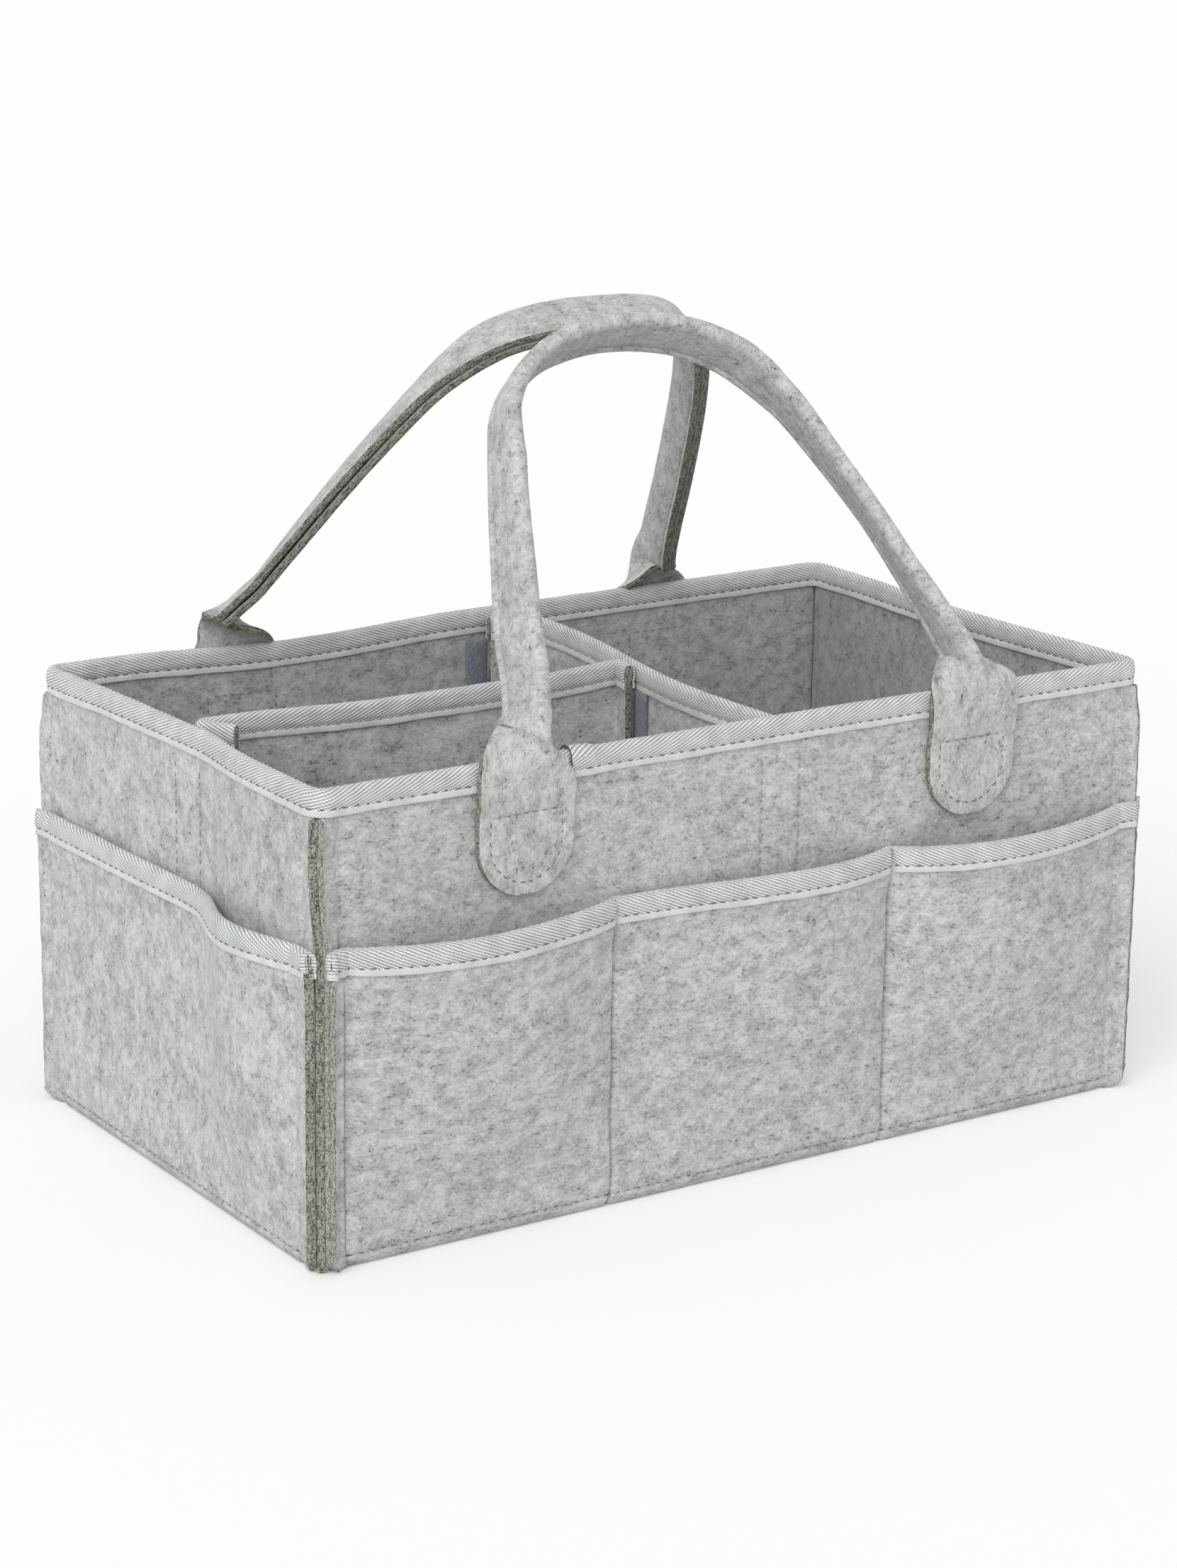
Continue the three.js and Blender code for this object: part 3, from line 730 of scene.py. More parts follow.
pocketLayer = {
    "number": 1, "inset": pocketInset, "thickness": pocketThickness, "reach": pocketReach, "sag": pocketSag,
}
for side in sideHalf:
    rows = unevenRows(0, pocketTop, 3.0, (seams["base"], 3.0))
    places = unevenPlaces(side, 2.8, pocketLines[side])
    addLayer(side + "_pocket_felt", side, places, rows, pocketLayer, side + "_pocket_panel")
print("pockets made")


# Rows of a tape folded over an edge, from its outer hem up, over the crown and down to the
# inner hem: the share of the half width that each row stands out (1 outside, -1 inside),
# its depth below the crown and the direction that it faces.
tapeSteps = {"straight": 15, "crown": 9}


def tapeRows(halfWidth, drop, thickness):
    crown = halfWidth + thickness / 2
    straight = np.linspace(drop, crown, tapeSteps["straight"])
    angle = np.linspace(0, np.pi, tapeSteps["crown"])[1:-1]
    level = 0 * straight
    reach = joined(level + 1, np.cos(angle), level - 1)
    depth = joined(straight, crown - halfWidth * np.sin(angle), straight[::-1])
    facing = together(reach, joined(level, np.sin(angle), level))
    return reach, depth, facing


hem = {
    "stitch": 2.64, "dip": 0.3, "dipWidth": 0.55, "puff": 0.3, "puffAt": (5.0, 2.6), "wave": 0.25,
    "waveRun": 3, "fluff": 0.12,
}


# The two faces and the cloth places of a binding along an edge. planAt gives, for the
# depths of the tape's rows, the plan places of the felt's inner and outer face at each
# station; extra lifts a lap and shut presses the tape together.
def bindingGrid(planAt, top, seed, extra=0.0, shut=0.0):
    drop = box["tapeDrop"]
    halfWidth = box["felt"] / 2 + box["gap"] + box["tape"] / 2
    reach, depth, facing = tapeRows(halfWidth, drop, box["tape"])
    inner, outer = planAt(depth)
    middle = (inner + outer) / 2
    wide = np.linalg.norm(outer - inner, axis=-1) / 2 + box["gap"] + box["tape"] / 2
    wide = wide - np.reshape(shut, (-1, 1))
    direction = unit(outer - inner)
    along = runAlong(middle[:, 0])
    nearHem = smooth(depth - drop, -hem["waveRun"], hem["waveRun"])
    wave = hem["wave"] * softNoise(together(along, 0.0, seed), 9.0, seed)
    z = np.asarray(top)[:, None] - depth[None, :] - wave[:, None] * nearHem[None, :]
    dip = -hem["dip"] * bell(depth - drop + hem["stitch"], 0, hem["dipWidth"])
    puff = hem["puff"] * hill(depth, *hem["puffAt"])
    fluff = hem["fluff"] * softNoise(together(along[:, None], z, 3 * np.sign(reach)), 6.0, seed + 1)
    push = dip + puff + fluff + np.reshape(extra, (-1, 1))
    sheets = []
    for side in (1, -1):
        lift = push + side * box["tape"] / 2
        w = wide * reach + lift * facing[:, 0]
        plan = middle + direction * w[..., None]
        sheets.append(np.concatenate([plan, (z + lift * facing[:, 1])[..., None]], -1))
    run = joined([0], np.cumsum(np.hypot(np.diff(reach) * halfWidth, np.diff(depth))))
    place = together(along[:, None], run * tapeLook["width"] / run[-1], 0.0)
    return sheets[0], sheets[1], place


# The two faces in plan of a felt of even thickness along a line.
def evenFaces(base, normal, low, high):
    def planAt(depth):
        return [np.repeat((base + normal * level)[:, None], len(depth), 1) for level in (low, high)]
    return planAt


stitchShape = {
    "along": (-0.5, -0.38, 0.0, 0.38, 0.5), "fat": (0.45, 0.95, 1.1, 0.95, 0.45), "sides": 6,
    "arch": 2.2, "tip": (0.56, 1.3),
}


# A short stitch: a thin six-sided grain whose ends dive into the cloth.
def stitchGrain():
    sides = stitchShape["sides"]
    share = np.array(stitchShape["along"])[:, None]
    fat = np.array(stitchShape["fat"])[:, None]
    angle = np.linspace(0, 2 * np.pi, sides, endpoint=False)
    arch = (stitchShape["arch"] * share) ** 2
    ring = together(share, fat * np.cos(angle), fat * np.sin(angle) - arch)
    far, deep = stitchShape["tip"]
    points = np.vstack([ring.reshape(-1, 3), [[-far, 0, -deep], [far, 0, -deep]]])
    last = len(points) - 2
    j = np.arange(sides)
    n = (j + 1) % sides
    faces = []
    for start in range(0, last - sides, sides):
        faces.append(together(start + j, start + n, start + sides + n, start + sides + j))
    start = last - sides
    caps = [together(last, n, j, j), together(last + 1, start + j, start + n, start + n)]
    faces.append(np.stack(caps, 1).reshape(-1, 4))
    return points, np.vstack(faces)


grainPoints, grainFaces = stitchGrain()
# Each seam's stitches have a pitch, a length and a radius.
threads = {"tape": (4.6, 2.7, 0.34), "strap": (4.2, 1.9, 0.2), "tab": (3.7, 2.2, 0.24),
           "tabInner": (3.7, 2.2, 0.18), "strip": (3.6, 1.9, 0.18)}


# Stitches along lines on a cloth: each line is a run of points with the direction that the
# cloth faces there. Their places and lengths vary a little.
def addStitches(name, lines, material, body="box", sizes="tape"):
    pitch, length, radius = threads[sizes]
    points = []
    faces = []
    total = 0
    for line, facing in lines:
        run = runAlong(line)
        count = max(1, int(run[-1] / pitch))
        at = (np.arange(count) + 0.5) * run[-1] / count
        at = at + 0.3 * np.sin(at * 7.7)
        centre = pointsAt(at, run, line)
        tangent = unit(pointsAt(at + 0.5, run, line) - pointsAt(at - 0.5, run, line))
        across = unit(np.cross(unit(pointsAt(at, run, facing)), tangent))
        out = np.cross(tangent, across)
        long = length * (1 + 0.3 * np.sin(at * 3.1 + 1))[:, None, None]
        stitch = (centre[:, None] + tangent[:, None] * grainPoints[:, :1] * long
                  + across[:, None] * grainPoints[:, 1:2] * radius
                  + out[:, None] * grainPoints[:, 2:3] * radius)
        start = total + np.arange(count) * len(grainPoints)
        total += count * len(grainPoints)
        points.append(stitch.reshape(-1, 3))
        faces.append((grainFaces[None] + start[:, None, None]).reshape(-1, 4))
    points = np.vstack(points)
    faces = np.vstack(faces)
    solid = (points, faces, np.zeros(len(faces)), points)
    addPiece(name, solid, [material], None, body)


# The stitch line on one face of a tape grid: the row at the dip, moved out a little.
def hemLine(outside, inside, fromInner):
    step = (box["tapeDrop"] - box["felt"] / 2 - box["gap"] - box["tape"]) / (tapeSteps["straight"] - 1)
    row = int(round(hem["stitch"] / step))
    row = outside.shape[1] - 1 - row if fromInner else row
    facing = unit(outside[:, row] - inside[:, row])
    return (outside[:, row] + 0.05 * facing)[2:-2], facing[2:-2]


# A stitched tape. Its cloth also covers its hems, and cut, if given, is the material of its two cut ends;
# the rim tape's paints shade there.
def addBinding(name, grids, replaced, body="box", stitch=darkThread, cloth=tapeCloth, cut=None):
    outside, inside, place = grids
    if body == "box":
        outside = settle(outside)
        inside = settle(inside)
    solid = clothSolid(outside, inside, place, box["tape"], 0.15)
    kinds = solid[2]
    columns, rows = outside.shape[0] - 1, outside.shape[1] - 1
    # the faces round the two cut ends take the second material, painted shade where cut is given
    around = (np.arange(len(kinds)) - 2 * columns * rows) % (2 * (columns + rows))
    atEnd = (around >= columns) & (around < columns + rows) | (around >= 2 * columns + rows)
    kinds *= atEnd
    addPiece(name, solid, [cloth, cut or cloth], replaced, body)
    lines = [hemLine(outside, inside, fromInner) for fromInner in (False, True)]
    addStitches(name + "_stitches", lines, stitch, body)


# Part of a side's inner face in plan, with the direction outwards.
def sideLine(side, first, last, step=1.5):
    u = np.linspace(first, last, max(2, int(abs(last - first) / step)))
    line = onSide(side, u, 0.0, 0.0)[:, :2]
    return line, np.broadcast_to(sideAxes(side)[1][:2], line.shape)


rim = {"lapX": -83, "lapRun": 7, "lapLift": 1.15, "lapEdge": 0.5, "lapFade": 5, "step": 3.0}


# The rim's plan: a rectangle with round corners, walked from the lap on the front all the
# way round and a little way under itself.
def rimStations():
    radius = box["rimRadius"]
    angle = np.linspace(0, np.pi / 2, 9)[1:-1, None]
    walk = ("front", "right", "back", "left", "front")
    base = []
    normal = []
    for k, side in enumerate(walk):
        half = sideHalf[side] - radius
        first = rim["lapX"] if k == 0 else -half
        last = rim["lapX"] + rim["lapRun"] if k == len(walk) - 1 else half
        line, out = sideLine(side, first, last, rim["step"])
        base.append(line)
        normal.append(out)
        if k < len(walk) - 1:
            ahead = sideAxes(side)[0][:2]
            turn = np.cos(angle) * out[0] + np.sin(angle) * ahead
            base.append(onSide(side, half, -radius, 0.0)[:2] + radius * turn)
            normal.append(turn)
    return np.vstack(base), np.vstack(normal)


def addRimBinding():
    base, normal = rimStations()
    along = runAlong(base)
    lap = rim["lapLift"] * (1 - smooth((along - rim["lapRun"] - 1) / rim["lapFade"]))
    lap = lap + rim["lapEdge"] * bell(along)
    top = np.full(len(base), float(box["rim"]))
    grids = bindingGrid(evenFaces(base, normal, 0.0, box["felt"]), top, 11, lap)
    # the rim tape's cut ends take the dark grey of painted shade
    addBinding("rim_tape", grids, "rim_binding", cut=tapeEndShade)


addRimBinding()

pocketEnd = {"beyond": 0.7, "open": 0.12, "shut": 0.45}
pocketPinch = {"corner": 0.9, "cornerWidth": 1.3, "line": 1.5}


# The pocket's felt as its tape meets it: the same plan, with wider, shallower grooves.
def tapedInset(side, u, z):
    return pocketInset(side, u, np.minimum(z, pocketTop))


def tapedThickness(side, u, z):
    fromCorner = np.abs(u) - sideHalf[side] + seams["cornerPlace"]
    pinch = pocketPinch["corner"] * bell(fromCorner, 0, pocketPinch["cornerWidth"])
    for line in pocketLines[side]:
        pinch = pinch + pocketPinch["line"] * bell(u, line)
    return box["felt"] - pinch


tapedLayer = {"number": 1, "inset": tapedInset, "thickness": tapedThickness, "reach": pocketReach}


# A pocket's binding follows the pocket's felt all the way, also out along the seam fins.
def addPocketBinding(side):
    places = unevenPlaces(side, 2.4, pocketLines[side])
    u = columnPlaces(side, places)

    def planAt(depth):
        z = pockets["height"] - depth
        inner, outer = (layerPlan(side, places, z, face, tapedLayer) for face in (0, 1))
        middle = (inner + outer) / 2
        pair = []
        for plan in (inner, outer):
            ends = []
            for last, before in ((0, 1), (-1, -2)):
                # the tape is pressed shut a little beyond the felt's cut end
                beyond = unit(middle[last] - middle[before]) * pocketEnd["beyond"]
                ends.append((middle[last] + beyond + pocketEnd["open"] * (plan[last] - middle[last]))[None])
            plan = joined(ends[0], plan, ends[1])
            pair.append(onSide(side, plan[..., 0], plan[..., 1], 0.0)[..., :2])
        return pair

    top = pockets["height"] - pocketSag(side, u)
    top = joined(top[:1], top, top[-1:])
    shut = np.zeros(len(top))
    shut[[0, -1]] = pocketEnd["shut"]
    grids = bindingGrid(planAt, top, 20 + sideSeed[side], 0.0, shut)
    addBinding(side + "_pocket_tape", grids, side + "_pocket_binding", cloth=pocketTape)


for side in sideHalf:
    addPocketBinding(side)
print("bindings made")

# rings are distances from the wall and drops how far the base turns down there.
basePanel = {
    "rings": (1.8, 1.86, 2.4, 3.4, 5.0, 7.5, 11, 15, 20, 26, 32, 38),
    "drops": (4.95, 2.2, 0.5, 0.05, 0, 0, 0, 0, 0, 0, 0, 0),
    "inside": 40, "columns": 42, "rows": 20, "height": 5, "sag": 3.5, "sagRise": (3.8, 32),
    "wave": 0.35, "waveRise": (15, 20), "lowest": 0.02,
}


# The base: a grid over the floor that dips in the middle and turns down at its rim, given
# two faces along its own normals.
def addBase():
    rings = np.array(basePanel["rings"])

    def line(half, count):
        inside = half - basePanel["inside"]
        return joined(rings - half, np.linspace(-inside, inside, count), (half - rings)[::-1])

    x, y = np.meshgrid(line(innerX, basePanel["columns"]), line(innerY, basePanel["rows"]), indexing="ij")
    edge = np.minimum(innerX - np.abs(x), innerY - np.abs(y))
    z = basePanel["height"] - basePanel["sag"] * smooth(edge, *basePanel["sagRise"])
    z = z - np.interp(edge, rings, basePanel["drops"])
    wave = basePanel["wave"] * softNoise(together(x, y, 0.0), 42, 4)
    z = z + wave * smooth(edge, *basePanel["waveRise"])
    middle = together(x, y, z)
    facing = unit(np.cross(np.gradient(middle, axis=0), np.gradient(middle, axis=1)))
    faces = [middle + side * box["felt"] / 2 * facing for side in (1, -1)]
    for face in faces:
        face[..., 2] = np.maximum(face[..., 2], basePanel["lowest"])
    solid = clothSolid(faces[0], faces[1], together(x, y, 400.0), box["felt"], 0.1)
    addPiece("base_felt", solid, [frontFelt, rawFelt], "base_panel")


addBase()


# An upright pad or panel along a path in plan: two faces beside the path's middle line,
# from a low to a high edge that can change along it. One on the box settles with it.
def addPanel(name, path, normal, offset, low, high, thickness, materials, replaced, body="box",
             rough=0.2):
    low = np.broadcast_to(low, len(path))
    high = np.broadcast_to(high, len(path))
    rows = np.linspace(0, 1, max(3, int((high.max() - low.min()) / 3.2)))
    z = low[:, None] * (1 - rows) + high[:, None] * rows
    faces = []
    for side in (1, -1):
        plan = path + normal * (offset + side * thickness / 2)
        sheet = together(plan[:, :1], plan[:, 1:], z)
        faces.append(settle(sheet) if body == "box" else sheet)
    place = together(runAlong(path)[:, None], z, 31.0 * len(name))
    solid = clothSolid(faces[0], faces[1], place, thickness, 0.25, rough)
    if len(materials) == 1:
        solid[2][:] = 0
    addPiece(name, solid, materials, replaced, body)


def addPad(name, path, normal, offset, body):
    addPanel(name, path, normal, offset, strips["foot"], strips["top"], strips["thickness"],
             [stripCloth], name + "_strip", body, 0.05)


stripPlaces = {"front": (3.5, 23.5), "back": (-23.5, -3.5), "left": (-8.5, 11.5)}
for side, (first, last) in stripPlaces.items():
    line, out = sideLine(side, first, last)
    addPad(side + "_wall_loop", line, out, -strips["sunk"], "box")


# A path in plan through corners, each rounded with one radius, at even steps, and how far
# along it each step lies.
def foldedPath(places, radius, step=1.2):
    places = np.array(places, float)
    points = [places[0]]
    for k in range(1, len(places) - 1):
        back = unit(places[k - 1] - places[k])
        ahead = unit(places[k + 1] - places[k])
        half = math.acos(float(np.clip(back @ ahead, -1, 1))) / 2
        centre = places[k] + unit(back + ahead) * radius / math.sin(half)
        first = places[k] + back * radius / math.tan(half) - centre
        last = places[k] + ahead * radius / math.tan(half) - centre
        for t in np.linspace(0, 1, 15):
            points.append(centre + radius * unit((1 - t) * first + t * last))
    points.append(places[-1])
    points = np.array(points)
    run = runAlong(points)
    even = np.linspace(0, run[-1], int(run[-1] / step))
    return pointsAt(even, run, points), even


# The direction to the right of a path in plan.
def rightOf(path):
    ahead = unit(np.gradient(path, axis=0))
    return together(ahead[:, 1], -ahead[:, 0])


dividers = {
    "flap": 18, "floor": 3.7, "floorEnds": 3.4,
    "crossX": 22, "crossReach": 99.2, "crossTop": 176.4, "crossBend": 4.0, "crossWave": 0.5,
    "swingLeft": -5.5, "swingRight": 13.5, "swingRise": (-45, 115), "swingFront": 2.2, "frontAt": (-110, 60),
    "longY": 7, "longLeft": -176.2, "longRight": 15.9, "longBend": 2.8, "longTop": 175.3,
    "leftTurn": 35, "shortFlap": 10, "shortTurn": 1.7, "longWave": 0.9,
    "longEnds": 3.0, "longMiddle": -61, "longRise": (30, 75),
    "hook": (1.5, 14), "shortHook": (0.8, 8), "loopHalf": 10, "loopY": -1.5, "loopX": 12,
}


# The cross divider isn't quite square in the box: it swings to the right towards the back.
def crossSwing(path):
    look = dividers
    y = path[:, 1]
    swing = look["swingLeft"] + look["swingRight"] * smooth(y, *look["swingRise"])
    swing = swing + look["swingFront"] * hill(y, *look["frontAt"])
    return path + together(swing, 0 * swing)


def dividerFloor(path):
    edge = np.minimum(innerX - np.abs(path[:, 0]), innerY - np.abs(path[:, 1]))
    return dividers["floor"] + dividers["floorEnds"] * (1 - smooth(edge, *basePanel["sagRise"]))


def addDivider(name, path, normal, top, seed):
    half = box["felt"] / 2
    addPanel(name + "_felt", path, normal, 0.0, dividerFloor(path), underTape(top), box["felt"],
             [frontFelt, rawFelt], name, name)
    grids = bindingGrid(evenFaces(path, normal, -half, half), top, seed)
    addBinding(name + "_tape", grids, name + "_binding", name, paleThread)


def addCrossDivider():
    look = dividers
    reach = look["crossReach"]
    x = look["crossX"]
    tip = x - look["flap"]
    path, run = foldedPath([(tip, -reach), (x, -reach), (x, reach), (tip, reach)], look["crossBend"])
    path = crossSwing(path)
    normal = rightOf(path)
    top = look["crossTop"] + look["crossWave"] * softNoise(together(path[:, 1], 0.0, 0.0), 60, 2)
    addDivider("cross_divider", path, normal, top, 31)
    return path, normal, run


def addLongDivider():
    look = dividers
    turn = math.radians(look["leftTurn"])
    left, right, y = look["longLeft"], look["longRight"], look["longY"]
    leftTip = (left + look["flap"] * math.sin(turn), y - look["flap"] * math.cos(turn))
    rightTip = (right - look["shortTurn"], y - look["shortFlap"])
    path, run = foldedPath([leftTip, (left, y), (right, y), rightTip], look["longBend"])
    normal = rightOf(path)
    wave = look["longWave"] * softNoise(together(path[:, 0], 0.0, 0.0), 80, 6)
    path = path + together(0 * run, wave)
    fromMiddle = np.abs(path[:, 0] - look["longMiddle"])
    top = look["longTop"] + look["longEnds"] * smooth(fromMiddle, *look["longRise"])
    addDivider("long_divider", path, normal, top, 37)
    return path, normal, run


# A hook or loop pad on a divider, over part of its path. side is 1 or -1 for the face.
def addDividerPad(name, body, line, first, last, side):
    path, normal, run = line
    part = (run >= first) & (run <= last)
    offset = side * (box["felt"] / 2 + box["gap"] + strips["thickness"] / 2)
    addPad(name, path[part], normal[part], offset, body)


crossLine = addCrossDivider()
longLine = addLongDivider()
crossPath = crossLine[0]
crossRun = crossLine[2]
onFlap = crossPath[:, 0] < dividers["loopX"]
middle = crossRun[np.argmin(np.abs(crossPath[:, 1] - dividers["loopY"]) + 50 * onFlap)]
crossEnd = crossRun[-1]
longEnd = longLine[2][-1]
reach = dividers["loopHalf"]
near, far = dividers["hook"]
shortNear, shortFar = dividers["shortHook"]
addDividerPad("cross_divider_loop", "cross_divider", crossLine, middle - reach, middle + reach, -1)
addDividerPad("cross_divider_front_hook", "cross_divider", crossLine, near, far, 1)
addDividerPad("cross_divider_back_hook", "cross_divider", crossLine, crossEnd - far, crossEnd - near, 1)
addDividerPad("long_divider_left_hook", "long_divider", longLine, near, far, -1)
addDividerPad("long_divider_right_hook", "long_divider", longLine, longEnd - shortFar,
              longEnd - shortNear, -1)
print("dividers made")

handles = {
    "halfWidth": 20.5, "felt": 2.8, "bendRadius": 1.75, "hingeZ": 181.6, "hingeW": 7.5, "lean": 34,
    "leanRise": (5, 18), "stitchInset": 5.0, "groove": 17.9, "tabStitchTop": 160, "step": 1.5,
    "middle": 10.4, "middleRise": (6, 32), "footLift": 1.35, "footRise": (157, 11),
    "waistRise": (-14, 19), "waistEnd": (10, 7), "ridgeRise": (-14, 16), "narrowing": 0.72,
    "waver": 0.35, "puff": 0.45, "puffAt": (9.5, 8), "edgePuff": 0.25, "edgeRise": (18.4, 2),
    "seamDip": 0.45, "pressed": 0.9, "lumps": 0.12, "wallTop": 178, "freeRise": (5, 90),
    "blendFrom": 0.176, "blendTo": 0.191, "seamWidth": 0.55, "seamTop": 161, "barDepth": 1.5,
    "barWidth": 0.5, "barTop": 170, "grooveWidth": 0.7, "dipWidth": 0.8, "strapSeamFrom": 13,
    "proud": 0.05, "tabProud": 0.08,
}
# Where the strip's points lie across its half, closer together at its stitches and edge.
acrossSteps = np.array([0, 0.5, 1.0, 1.6, 2.2, 2.8, 3.6, 5, 7, 9, 11, 13, 14.9, 15.5, 16.1, 16.8, 17.3,
                        17.9, 18.5, 19, 19.6, 20.1, 20.5])
creaseSteps = np.array([-0.9, -0.4, 0, 0.4, 0.9])

# How the left and the right leg of each handle fold, in distances past the hinge: where the
# outer and the inner wing start and end to turn in, how far each is drawn in there, how far
# the fold's ridge wanders to the inner side and up to where, and where the twist is full.
frontFolds = {
    "outerFold": (-4, -1), "outerEnd": (5, 8.5), "innerFold": (-1, -2), "innerEnd": (13, 10),
    "outerWaist": (0.97, 0.95), "innerWaist": (0.6, 1.0), "wander": (9.5, -5.5),
    "wanderEnd": (19, 19), "twistEnd": (15, 13.5),
}
backFolds = {
    "outerFold": (3, -4), "outerEnd": (18, 7), "innerFold": (-3, -1), "innerEnd": (17, 17),
    "outerWaist": (0.75, 0.75), "innerWaist": (0.8, 0.8), "wander": (0, 10.5),
    "wanderEnd": (19, 28), "twistEnd": (13.5, 13.5),
}
# Knots of each arch: place along the box, distance past the hinge and twist in degrees.
frontKnots = [
    (-102.5, -52.6, -16), (-102.5, -30, -16), (-102.6, -12, -16), (-102.4, -2, -16),
    (-99.2, 7, -16), (-95, 15, -16), (-92.2, 28, -17), (-89, 48, -16), (-84.6, 67.2, -12),
    (-79.6, 86.4, -7), (-75, 103, -4), (-71.2, 115.5, -2), (-69, 124, 2), (-65, 136.2, 6),
    (-56, 147.8, 7), (-43.4, 156.6, 6), (-30.8, 161, 5), (-15, 163.9, 5), (1, 164, 5),
    (15.5, 162, 4), (28.7, 158, 3), (41, 151.5, 2), (49.9, 143.6, -1), (57.5, 133.4, -9),
    (64, 122.8, -16), (73.9, 99.3, -23), (83.4, 75.9, -25), (90.2, 54.6, -23), (96, 37.3, -18),
    (99.2, 22, -12), (101, 10, -10), (102.2, -4, -10), (102.5, -16, -10), (102.5, -30, -10),
    (102.5, -52.6, -10),
]
backKnots = [
    (-102.5, -52.6, -47), (-102.5, -30, -47), (-102.5, -12, -47), (-102.4, 0, -47),
    (-102.6, 8, -47), (-103.4, 19, -47), (-101.8, 30, -46), (-96.3, 45.1, -43), (-87, 66, -40),
    (-77.6, 87.2, -38), (-69.2, 105.2, -37), (-60.6, 122.5, -35), (-53.2, 135.8, -31),
    (-45.6, 146, -23), (-38, 153, -17), (-27.6, 158.4, -13), (-13.1, 162, -9), (0, 163.2, -5),
    (15, 163, -2), (30, 162.2, 0), (45, 159.6, 0), (56.3, 153.2, 0), (64.6, 142, 0),
    (70.5, 127.5, 0), (77, 106, 0), (82.2, 84.8, 0), (86.4, 66, 0), (90.1, 47.2, 0),
    (93.6, 30, -3), (97.2, 14, -8), (101.2, 0, -8), (102.5, -12, -8), (102.5, -30, -8),
    (102.5, -52.6, -8),
]


# How far along its plane the leaning strap has come in and up at a distance past its hinge,
# and its lean there: the lean grows smoothly past the hinge and is summed along the way.
def leanPath(past):
    table = np.linspace(-70, 230, 3001)
    angle = math.radians(handles["lean"]) * smooth(table, *handles["leanRise"])
    step = table[1] - table[0]
    inwards = np.cumsum(np.sin(angle)) * step
    upwards = np.cumsum(np.cos(angle)) * step
    upwards = upwards - np.interp(0, table, upwards)
    return [np.interp(past, table, values) for values in (inwards, upwards, angle)]


# The point of a grid at a column and a row that need not be whole.
def gridPoint(grid, column, row):
    column = np.clip(column, 0, grid.shape[0] - 1.001)
    row = np.clip(row, 0, grid.shape[1] - 1.001)
    i = column.astype(int)
    j = row.astype(int)
    s = (column - i)[:, None]
    t = (row - j)[:, None]
    low = grid[i, j] * (1 - s) + grid[i + 1, j] * s
    high = grid[i, j + 1] * (1 - s) + grid[i + 1, j + 1] * s
    return low * (1 - t) + high * t


# The strip of a handle laid flat: how far along it each column lies, its place in the arch
# and its half width, which closes in a half circle at both ends.
def handleStrip(knots):
    look = handles
    wide = look["halfWidth"]
    dense = curveThrough(np.array(knots) * [1, 1, 0.01], 1200)
    run = runAlong(dense[:, :2])
    total = run[-1]
    bar = look["tabStitchTop"] - (look["hingeZ"] + knots[0][1])
    end = (wide * (1 - np.cos(np.radians(np.linspace(9, 90, 12)))))[:-1]
    crease = bar + creaseSteps
    even = np.linspace(wide, total - wide, int((total - 2 * wide) / look["step"]))
    along = np.sort(joined(end, crease, even, total - crease, total - end))
    fromEnd = np.minimum(along, total - along)
    rounded = np.sqrt(np.maximum(wide ** 2 - (wide - fromEnd) ** 2, 1))
    return {
        "along": along, "total": total, "bar": bar, "fromEnd": fromEnd,
        "x": np.interp(along, run, dense[:, 0]), "past": np.interp(along, run, dense[:, 1]),
        "twist": np.interp(along, run, np.radians(100 * dense[:, 2])),
        "halfWidth": np.where(fromEnd < wide, rounded, wide),
        "share": joined(-acrossSteps[:0:-1], acrossSteps) / wide,
    }


